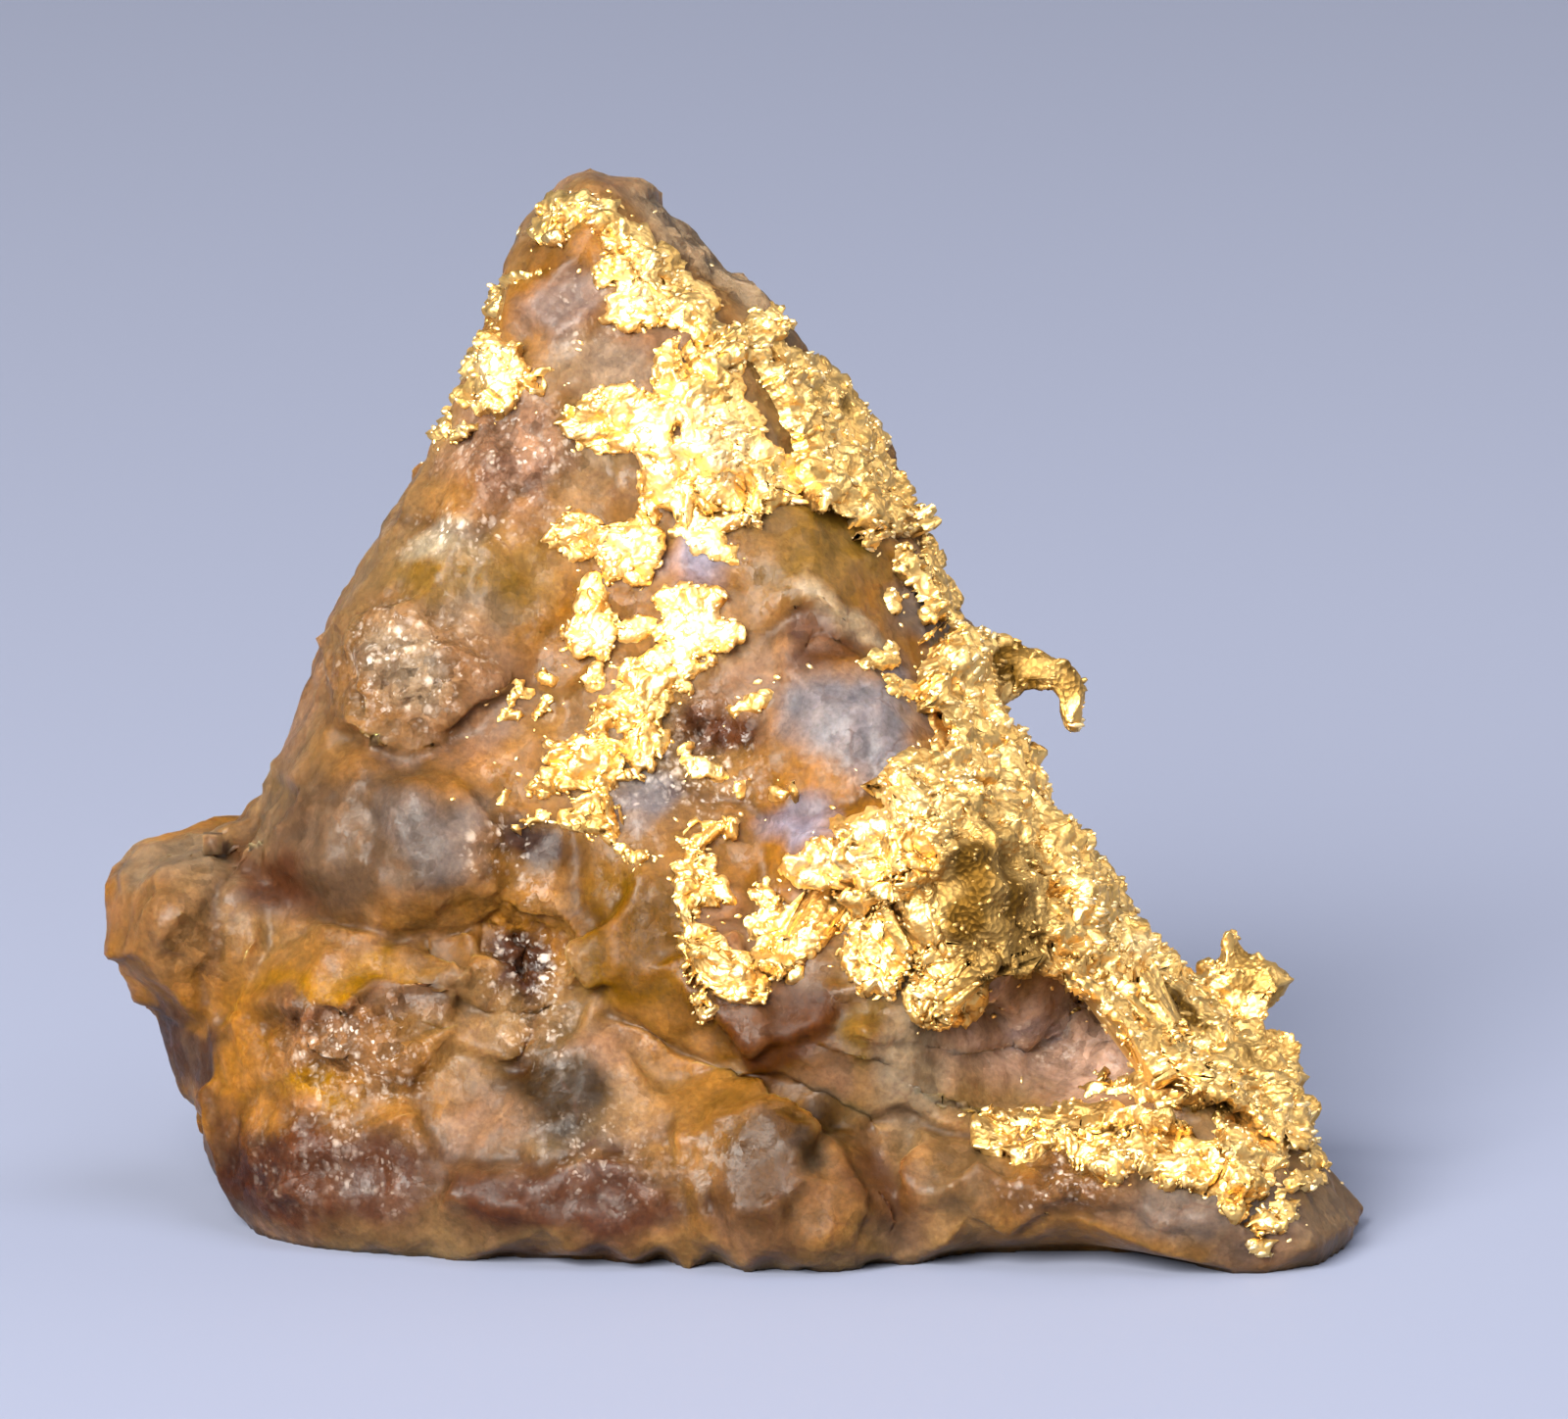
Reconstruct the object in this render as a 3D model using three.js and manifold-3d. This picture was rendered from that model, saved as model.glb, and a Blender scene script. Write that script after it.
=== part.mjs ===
// A hand specimen of native gold on iron-stained vein quartz, about 32 mm wide and 26 mm tall.
// Millimetres, +Z up, the front faces -Y. The stone is one solid; each gold crust is a solid of its own.
import * as THREE from "three";
import { mergeVertices } from "three/addons/utils/BufferGeometryUtils.js";
import Module from "manifold-3d";

const wasm = await Module();
wasm.setup();

// ---- Driving sizes ----
const LEAN = THREE.MathUtils.degToRad(10); // the front elevation is drawn as seen from 10 degrees above
const SKIN_DETAIL = 14; // splits of the icosahedron that is shrunk onto the stone
const HEART = [-0.9, 9]; // the middle of the elevation, from which the whole outline is seen
const CORE_SHARE = 0.8; // the flat core that the skin is cast from, as a share of the outline
const FACE_SHARE = 0.42; // skin points nearer the rim than this share belong to the sides
const SIDE_SPREAD = 0.75; // evens out the skin's points over the sides
const EDGE_ROUND = 2.0; // how far a fracture edge is rounded
const SIDE_TAPER = 0.16; // the sides draw in towards the front and the back
const GRAIN_COUNT = 320; // grains that the quartz breaks in
const GRAIN_BEVEL = 1.1; // width of the slope between two grains' faces
const GRAIN_FRONT = 0.22; // height of the grains on the front
const GRAIN_BACK = 0.75;
const FLOOR_CUT = 0.35; // depth that the flat underside cuts off
const FOOT_ROUND = 0.9; // how far the edge of the underside is rounded
const GOLD_GAP = 0.3; // clearance between the gold's underside and the quartz
const GOLD_LUMP = 1.1; // spacing of the lumps of a gold crust
const THINNEST = 0.6; // share of a crust's thickness between its lumps
const MARCH_STEP = 0.35; // how finely the skin looks for the stone's surface
const MARCH_END = 24;
const BISECTIONS = 14;
const SLANT_LIMIT = 0.55; // a crust is thickened no more than this allows where the skin lies at a slant
const FAR = 14; // well in front of the stone

// ---- The front elevation ----
// u runs right, w runs up the elevation and v runs away from the viewer.
const COS = Math.cos(LEAN);
const SIN = Math.sin(LEAN);
const toElevation = (p) => [p.x, p.z * COS + p.y * SIN, p.y * COS - p.z * SIN];
const fromElevation = (u, w, v) => new THREE.Vector3(u, v * COS + w * SIN, w * COS - v * SIN);
const U_AXIS = fromElevation(1, 0, 0);
const W_AXIS = fromElevation(0, 1, 0);
const V_AXIS = fromElevation(0, 0, 1);

// Outline of the quartz, clockwise from the apex. The lowest points lie below the floor, which cuts them.
const STONE_OUTLINE = [
  [-3.4, 27.0], [-2.7, 27.3], [-2.2, 27.0], [-1.3, 26.2], [-0.1, 25.2], [0.3, 24.7], [1.4, 24.8],
  [1.9, 23.9], [2.1, 22.9], [2.7, 21.9], [3.7, 20.8], [4.6, 19.4], [5.4, 17.6], [6.1, 16.3],
  [6.6, 14.8], [6.6, 13.6], [6.9, 12.2], [7.4, 10.8], [8.1, 9.6], [9.1, 8.6], [9.5, 7.8],
  [10.2, 6.8], [11.4, 5.8], [13.0, 5.3], [14.0, 4.7], [14.1, 3.3], [14.3, 2.3], [15.2, 1.6],
  [16.5, 0.2], [16.4, -0.7], [16.0, -1.5], [15.9, -4.0], [-11.9, -4.0], [-12.1, -0.6],
  [-12.5, 0.1], [-12.7, 0.7], [-13.1, 1.2], [-13.4, 2.0], [-13.7, 3.1], [-14.1, 4.3],
  [-15.1, 6.0], [-15.7, 6.8], [-16.0, 8.0], [-15.9, 8.5], [-15.5, 9.0], [-14.6, 9.8],
  [-13.5, 9.8], [-12.9, 10.1], [-12.0, 10.3], [-11.4, 11.3], [-10.9, 12.8], [-10.8, 13.4],
  [-10.4, 14.2], [-10.2, 15.2], [-9.7, 15.8], [-9.2, 16.8], [-8.5, 17.9], [-7.9, 18.8],
  [-7.3, 20.1], [-6.2, 21.9], [-6.1, 23.4], [-5.6, 24.3], [-5.2, 25.6], [-4.6, 26.0],
];

// Lumps and ledges of the front: centre, half sizes, turn in degrees and rise. A low edge number gives a
// steep edge, and a corner number above 2 squares the lump's plan off into a block.
const FRONT_LUMPS = [
  { name: "smooth grey lump", at: [-8.9, 9.5], half: [3.6, 2.6], turn: 0, rise: 1.6, edge: 0.5 },
  { name: "veined orange lump", at: [-8.2, 13.7], half: [2.6, 2.1], turn: 0, rise: 1.2, edge: 0.5 },
  { name: "honey shoulder", at: [-6.5, 16.4], half: [2.8, 1.8], turn: 0, rise: 0.5, edge: 1 },
  { name: "left knob", at: [-14.1, 7.6], half: [2.1, 2.7], turn: 0, rise: 1.8, edge: 0.5 },
  { name: "orange lens ledge", at: [-9.2, 6.0], half: [3.0, 1.2], turn: 8, rise: 1.5, edge: 0.5 },
  { name: "speckled lump", at: [-10.0, 4.0], half: [2.8, 1.6], turn: 0, rise: 0.9, edge: 0.5 },
  { name: "red foot lump", at: [-10.0, 1.3], half: [4.0, 2.0], turn: 0, rise: 0.8, edge: 0.5 },
  { name: "pink foot strip", at: [-4.0, 0.8], half: [3.4, 1.6], turn: 0, rise: 0.7, edge: 0.5 },
  { name: "honey block", at: [-2.2, 7.5], half: [1.8, 2.3], turn: 0, rise: 0.8, edge: 0.4, corner: 4 },
  { name: "amber block", at: [1.3, 5.4], half: [2.8, 1.6], turn: -10, rise: 0.9, edge: 0.4, corner: 4 },
  { name: "tan pillar", at: [4.5, 4.6], half: [1.4, 2.2], turn: -10, rise: 0.6, edge: 0.4, corner: 4 },
  { name: "tan foot lump", at: [1.2, 1.3], half: [2.4, 2.5], turn: 0, rise: 1.4, edge: 0.5 },
  { name: "orange knob", at: [2.8, 0.3], half: [1.0, 0.9], turn: 0, rise: 0.7, edge: 0.5 },
  { name: "low round lump", at: [5.7, 1.2], half: [1.5, 1.3], turn: 0, rise: 0.9, edge: 0.5 },
  { name: "low orange lump", at: [8.4, 1.0], half: [1.9, 1.4], turn: 0, rise: 0.9, edge: 0.5 },
  { name: "right foot", at: [11.9, 0.2], half: [3.2, 1.5], turn: -8, rise: 1.0, edge: 0.5 },
  { name: "foot tip", at: [15.0, -0.2], half: [1.0, 1.2], turn: 0, rise: 0.5, edge: 0.5 },
  { name: "grey block", at: [3.3, 12.4], half: [2.0, 1.6], turn: -6, rise: 0.9, edge: 0.35, corner: 4 },
  { name: "lavender block", at: [-0.5, 16.8], half: [1.1, 0.9], turn: 0, rise: 0.4, edge: 0.5 },
  { name: "brown shoulder", at: [2.5, 17.0], half: [1.9, 2.2], turn: 0, rise: 0.7, edge: 0.5 },
  { name: "pale rib", at: [3.2, 15.0], half: [1.5, 0.5], turn: -45, rise: 0.5, edge: 0.6 },
  { name: "upper swelling", at: [-0.7, 20.3], half: [3.0, 2.4], turn: 0, rise: 0.6, edge: 0.8 },
  { name: "overhanging ledge", at: [4.6, 9.8], half: [3.5, 1.7], turn: 14, rise: 1.5, edge: 0.5 },
  { name: "roof of the cave", at: [6.6, 7.9], half: [3.1, 3.0], turn: 0, rise: 1.5, edge: 0.4 },
];

// The cave under the gold, and the pits of the front, with their depth.
const CAVE = { at: [8.3, 4.4], half: [3.1, 1.8], turn: -12, rise: -3.6, edge: 0.4 };
const FRONT_PITS = [
  { name: "dark pit", at: [-5.1, 6.4], half: [1.0, 0.9], turn: 0, rise: -1.6, edge: 0.6 },
  { name: "rust pit", at: [-0.2, 12.4], half: [1.3, 1.0], turn: 0, rise: -0.9, edge: 0.7 },
  { name: "small rust pit", at: [2.4, 14.5], half: [0.9, 0.8], turn: 0, rise: -0.6, edge: 0.7 },
  { name: "dark left facet", at: [-13.8, 4.5], half: [1.1, 1.5], turn: 20, rise: -1.0, edge: 0.6 },
];

// Creases between the lumps of the front: a line along the crease, its depth and its half width.
const FRONT_CREASES = [
  { along: [[-12.7, 9.3], [-10.2, 7.8], [-7.7, 7.0], [-4.7, 7.5]], depth: 1.1, half: 0.6 },
  { along: [[-12.5, 10.3], [-12.8, 7.9], [-13.2, 5.3]], depth: 1.0, half: 0.6 },
  { along: [[-3.0, 5.5], [-1.0, 4.3], [2.3, 3.3], [4.8, 2.5], [7.0, 2.0]], depth: 1.0, half: 0.6 },
  { along: [[-10.2, 13.0], [-8.0, 11.7], [-6.5, 12.5]], depth: 0.7, half: 0.5 },
  { along: [[3.3, 2.5], [4.1, 1.0], [4.8, -0.5]], depth: 0.8, half: 0.5 },
  { along: [[-0.3, 0.8], [0.1, -0.6]], depth: 0.7, half: 0.4 },
  { along: [[-5.5, 7.5], [-4.5, 6.0], [-5.2, 4.0]], depth: 0.9, half: 0.5 },
  { along: [[-3.7, 10.0], [-3.5, 7.8], [-4.5, 7.0]], depth: 0.7, half: 0.5 },
  { along: [[-4.1, 19.7], [-2.5, 19.0], [-1.0, 17.8], [1.5, 18.0]], depth: 0.5, half: 0.5 },
];

// Blocks, ledges and hollows of the back, which broke along flatter faces.
const BACK_LUMPS = [
  { name: "back shoulder", at: [-5.2, 12.0], half: [4.2, 4.4], turn: 25, rise: 1.3, edge: 0.3, corner: 4 },
  { name: "back ledge", at: [5.0, 4.6], half: [6.0, 3.0], turn: -14, rise: 1.7, edge: 0.3, corner: 4 },
  { name: "back foot block", at: [-7.5, 2.6], half: [4.8, 3.0], turn: 8, rise: 1.0, edge: 0.3, corner: 4 },
  { name: "back rib", at: [0.3, 18.4], half: [1.9, 5.0], turn: 20, rise: 0.9, edge: 0.35, corner: 4 },
  { name: "back dimple", at: [2.6, 11.0], half: [2.4, 1.8], turn: -20, rise: -0.9, edge: 0.8 },
  { name: "back notch", at: [-11.2, 7.6], half: [2.0, 1.3], turn: 30, rise: -1.0, edge: 0.6 },
];

// How far the front rim stands off the floor, along the rim.
const RIM_LIFT = [
  [-11, 0.3], [-8, 0.2], [-4.5, 0.6], [-1, 0.35], [1.8, 0], [4, 0.2], [7, 1.0], [9.7, 1.1], [12, 0.5],
  [14.7, 0],
];
const RIM_START = -2.5;
const RIM_END = -6.5;

// The flat breaks that bound the front and the back: depth from the middle plane at the elevation's
// origin, and how fast it grows to the right and upwards.
const FRONT_FACES = [
  { name: "main face", depth: 7.0, right: 0, up: -0.2 },
  { name: "left face", depth: 8.4, right: 0.4, up: -0.1 },
];
const BACK_FACES = [
  { name: "back face", depth: 8.6, right: 0, up: -0.24 },
  { name: "back left face", depth: 10.1, right: 0.5, up: -0.05 },
  { name: "back right face", depth: 10.85, right: -0.55, up: -0.1 },
];
const FRONT_FACE_ROUND = 1.5;
const BACK_FACE_ROUND = 1.0;
// The right flank runs straight from the apex to the foot, and is blunter below its foot's height.
const FLANK = { top: [-2.5, 26.8], normal: [0.817, 0.577], rim: 0.6, slope: 1.35, foot: 6, round: 0.8 };

// ---- Small tools ----
const smoothMin = (a, b, round) => {
  const overlap = Math.max(round - Math.abs(a - b), 0) / round;
  return Math.min(a, b) - (overlap * overlap * round) / 4;
};

const along = (table, x) => {
  if (x <= table[0][0]) return table[0][1];
  for (let i = 1; i < table.length; i += 1) {
    const [x0, y0] = table[i - 1];
    const [x1, y1] = table[i];
    if (x <= x1) return THREE.MathUtils.lerp(y0, y1, (x - x0) / (x1 - x0));
  }
  return table[table.length - 1][1];
};

const distanceToSegment = (u, w, [u0, w0], [u1, w1]) => {
  const du = u1 - u0;
  const dw = w1 - w0;
  const t = THREE.MathUtils.clamp(((u - u0) * du + (w - w0) * dw) / (du * du + dw * dw), 0, 1);
  return Math.hypot(u - u0 - t * du, w - w0 - t * dw);
};

const distanceInside = (outline, u, w) => {
  let nearest = Infinity;
  let inside = false;
  for (let i = 0; i < outline.length; i += 1) {
    const a = outline[i];
    const b = outline[(i + 1) % outline.length];
    nearest = Math.min(nearest, distanceToSegment(u, w, a, b));
    if (a[1] > w !== b[1] > w && u < ((b[0] - a[0]) * (w - a[1])) / (b[1] - a[1]) + a[0]) inside = !inside;
  }
  return inside ? nearest : -nearest;
};

const lumpAt = (lump, u, w) => {
  const angle = THREE.MathUtils.degToRad(lump.turn);
  const du = u - lump.at[0];
  const dw = w - lump.at[1];
  const a = (du * Math.cos(angle) + dw * Math.sin(angle)) / lump.half[0];
  const b = (dw * Math.cos(angle) - du * Math.sin(angle)) / lump.half[1];
  const corner = lump.corner ?? 2;
  const inside = 1 - Math.abs(a) ** corner - Math.abs(b) ** corner;
  return inside > 0 ? lump.rise * inside ** lump.edge : 0;
};

const creaseAt = (crease, u, w) => {
  let nearest = Infinity;
  for (let i = 1; i < crease.along.length; i += 1) {
    nearest = Math.min(nearest, distanceToSegment(u, w, crease.along[i - 1], crease.along[i]));
  }
  return crease.depth * Math.exp(-((nearest / crease.half) ** 2));
};

const total = (forms, read, u, w) => forms.reduce((sum, form) => sum + read(form, u, w), 0);

// The quartz breaks in grains: each grain's face sits a little higher or lower than its neighbours'.
const grains = [];
let seed = 11;
const random = () => {
  seed = (seed * 16807) % 2147483647;
  return seed / 2147483647;
};
for (let i = 0; i < GRAIN_COUNT; i += 1) {
  grains.push({
    x: THREE.MathUtils.lerp(-17, 17, random()),
    y: THREE.MathUtils.lerp(-10, 11, random()),
    z: THREE.MathUtils.lerp(-2, 28, random()),
    height: random() * 2 - 1,
  });
}
const grainAt = (p) => {
  let first = Infinity;
  let second = Infinity;
  let height = 0;
  for (const grain of grains) {
    const distance = Math.hypot(p.x - grain.x, p.y - grain.y, p.z - grain.z);
    if (distance < first) {
      second = first;
      first = distance;
      height = grain.height;
    } else if (distance < second) {
      second = distance;
    }
  }
  return height * Math.min(1, (second - first) / GRAIN_BEVEL);
};

// ---- The stone: how far a point lies inside its surface ----
const faceDepths = (faces, round, u, w) => faces
  .map((face) => face.depth + face.right * u + face.up * w)
  .reduce((depth, other) => smoothMin(depth, other, round));

const flankDepth = (u, w) => {
  const fromFlank = (FLANK.top[0] - u) * FLANK.normal[0] + (FLANK.top[1] - w) * FLANK.normal[1];
  return FLANK.rim + FLANK.slope * fromFlank + Math.max(0, FLANK.foot - w);
};

const frontDepth = (u, w) => {
  const faces = faceDepths(FRONT_FACES, FRONT_FACE_ROUND, u, w);
  return smoothMin(faces, flankDepth(u, w), FLANK.round) + total(FRONT_LUMPS, lumpAt, u, w)
    + total(FRONT_PITS, lumpAt, u, w) - total(FRONT_CREASES, creaseAt, u, w);
};

const backDepth = (u, w) =>
  faceDepths(BACK_FACES, BACK_FACE_ROUND, u, w) + total(BACK_LUMPS, lumpAt, u, w);

// The stone with its cave is what the quartz fills; without it, it is what the gold has grown over.
const insideStone = (p, hasCave) => {
  const [u, w, v] = toElevation(p);
  const grainHeight = THREE.MathUtils.lerp(GRAIN_FRONT, GRAIN_BACK, THREE.MathUtils.smoothstep(v, -1, 3));
  const grain = grainHeight * grainAt(p);
  const side = distanceInside(STONE_OUTLINE, u, w) - SIDE_TAPER * Math.max(0, Math.abs(v) - 1) + 0.4 * grain;
  const front = v + frontDepth(u, w) + grain + (hasCave ? lumpAt(CAVE, u, w) : 0);
  const back = backDepth(u, w) - v + grain;
  const rim = along(RIM_LIFT, u) * THREE.MathUtils.smoothstep(-v, -RIM_START, -RIM_END);
  const walls = smoothMin(smoothMin(side, front, EDGE_ROUND), back, EDGE_ROUND);
  return smoothMin(walls, p.z - rim + FLOOR_CUT, FOOT_ROUND);
};

// ---- The skin: an icosahedron's points, cast from a flat core onto the stone ----
const onlyPositions = (geometry) => {
  geometry.deleteAttribute("normal");
  geometry.deleteAttribute("uv");
  return mergeVertices(geometry, 1e-4);
};

const OUTLINE_STEP = 0.1;
const outlineReach = (turn) => {
  const floorReach = turn < 0 ? HEART[1] / -Math.sin(turn) : MARCH_END;
  const isInside = (reach) => {
    const u = HEART[0] + reach * Math.cos(turn);
    const w = HEART[1] + reach * Math.sin(turn);
    return distanceInside(STONE_OUTLINE, u, w) > 0;
  };
  let reach = 0;
  while (reach < floorReach && isInside(reach)) reach += OUTLINE_STEP;
  return reach;
};

// Points of the front and back faces are cast straight out; those of the sides fan out from the core's rim.
const castLine = (unit) => {
  const turn = Math.atan2(unit.z, unit.x);
  const lay = Math.min(1, Math.abs(unit.y) / FACE_SHARE);
  const spread = Math.sqrt(Math.min(1, (1 - Math.abs(unit.y)) / (1 - FACE_SHARE)));
  const radius = CORE_SHARE * outlineReach(turn) * spread;
  const rise = (Math.PI / 2) * lay ** SIDE_SPREAD;
  const origin = fromElevation(HEART[0] + radius * Math.cos(turn), HEART[1] + radius * Math.sin(turn), 0);
  const direction = fromElevation(
    Math.cos(rise) * Math.cos(turn),
    Math.cos(rise) * Math.sin(turn),
    Math.sign(unit.y) * Math.sin(rise),
  );
  return { origin, direction };
};

const pointOn = (line, distance) => line.origin.clone().addScaledVector(line.direction, distance);

const surfaceAlong = (line, hasCave) => {
  let near = 0;
  let far = MARCH_STEP;
  while (far < MARCH_END && insideStone(pointOn(line, far), hasCave) > 0) {
    near = far;
    far += MARCH_STEP;
  }
  for (let i = 0; i < BISECTIONS; i += 1) {
    const middle = (near + far) / 2;
    if (insideStone(pointOn(line, middle), hasCave) > 0) near = middle;
    else far = middle;
  }
  return (near + far) / 2;
};

const ball = onlyPositions(new THREE.IcosahedronGeometry(1, SKIN_DETAIL));
const unitPoints = Array.from({ length: ball.attributes.position.count }, (_, i) =>
  new THREE.Vector3().fromBufferAttribute(ball.attributes.position, i));
const lines = unitPoints.map(castLine);

const skinFrom = (distances) => {
  const geometry = ball.clone();
  lines.forEach((line, i) => {
    const p = pointOn(line, distances[i]);
    geometry.attributes.position.setXYZ(i, p.x, p.y, p.z);
  });
  return geometry;
};

const stoneReach = lines.map((line) => surfaceAlong(line, true));
const grownReach = lines.map((line) => surfaceAlong(line, false));

// A distance off the surface is longer along a line that meets the surface at a slant.
const slants = (() => {
  const geometry = skinFrom(grownReach);
  geometry.computeVertexNormals();
  const normal = new THREE.Vector3();
  return lines.map((line, i) =>
    Math.max(SLANT_LIMIT, normal.fromBufferAttribute(geometry.attributes.normal, i).dot(line.direction)));
})();

const goldSkin = (offset) => skinFrom(lines.map((line, i) => {
  const [u, w] = toElevation(pointOn(line, grownReach[i]));
  return grownReach[i] + offset(u, w) / slants[i];
}));

// ---- Solids ----
const toSolid = (geometry) => {
  const merged = onlyPositions(geometry);
  return new wasm.Manifold(new wasm.Mesh({
    numProp: 3,
    vertProperties: new Float32Array(merged.attributes.position.array),
    triVerts: new Uint32Array(merged.index.array),
  }));
};

const toMesh = (name, solid, material) => {
  const { vertProperties, triVerts } = solid.getMesh();
  const geometry = new THREE.BufferGeometry();
  geometry.setAttribute("position", new THREE.BufferAttribute(vertProperties, 3));
  geometry.setIndex(new THREE.BufferAttribute(triVerts, 1));
  geometry.computeVertexNormals();
  const mesh = new THREE.Mesh(geometry, material);
  mesh.name = name;
  return mesh;
};

// A prism over an outline drawn on two axes, from `start` to `end` along the third.
const prism = (outline, across, up, start, end) => {
  const shape = new THREE.Shape(outline.map(([a, b]) => new THREE.Vector2(a, b)));
  const geometry = new THREE.ExtrudeGeometry(shape, { depth: end - start, bevelEnabled: false, steps: 1 });
  geometry.translate(0, 0, start);
  geometry.applyMatrix4(new THREE.Matrix4().makeBasis(across, up, across.clone().cross(up)));
  return toSolid(geometry);
};

const floorBlock = () => {
  const geometry = new THREE.BoxGeometry(60, 60, 20);
  geometry.translate(0, 0, -10);
  return toSolid(geometry);
};

const quartz = new THREE.MeshStandardMaterial({ color: 0xb08050, roughness: 0.45, metalness: 0 });
const gold = new THREE.MeshStandardMaterial({ color: 0xe6b84a, roughness: 0.3, metalness: 1 });

// ---- The gold: crusts that follow the stone, each over its own outline of the elevation ----
const lumpy = (u, w) =>
  0.5 + 0.25 * (Math.sin((5.1 * u + 2.3 * w) / GOLD_LUMP) + Math.sin((1.7 * u - 4.6 * w) / GOLD_LUMP));

const UNDERSIDE = toSolid(goldSkin(() => GOLD_GAP));
const goldTops = new Map();
const goldTop = (thick) => {
  if (!goldTops.has(thick)) {
    const offset = (u, w) => GOLD_GAP + thick * (THINNEST + 2 * (1 - THINNEST) * lumpy(u, w));
    goldTops.set(thick, toSolid(goldSkin(offset)));
  }
  return goldTops.get(thick);
};

// `backEdge` is the line, as [v, w] points from the top down, along which a crust ends round the side.
const FRONT_ONLY = [[0, 28], [0, -2]];
const crustOver = ({ outline, thick, backEdge = FRONT_ONLY }) => {
  const overOutline = prism(outline, U_AXIS, W_AXIS, -FAR, FAR);
  const side = [...backEdge, [-FAR, backEdge.at(-1)[1]], [-FAR, backEdge[0][1]]];
  const inFront = prism(side, V_AXIS, W_AXIS, -2 * FAR, 2 * FAR);
  return goldTop(thick).intersect(overOutline).intersect(inFront).subtract(UNDERSIDE);
};

// A leaf of gold that stands free of the stone, drawn on the elevation, from `front` to `back` deep.
const leaf = ({ outline, front, back }) => prism(outline, U_AXIS, W_AXIS, front, back);

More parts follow.
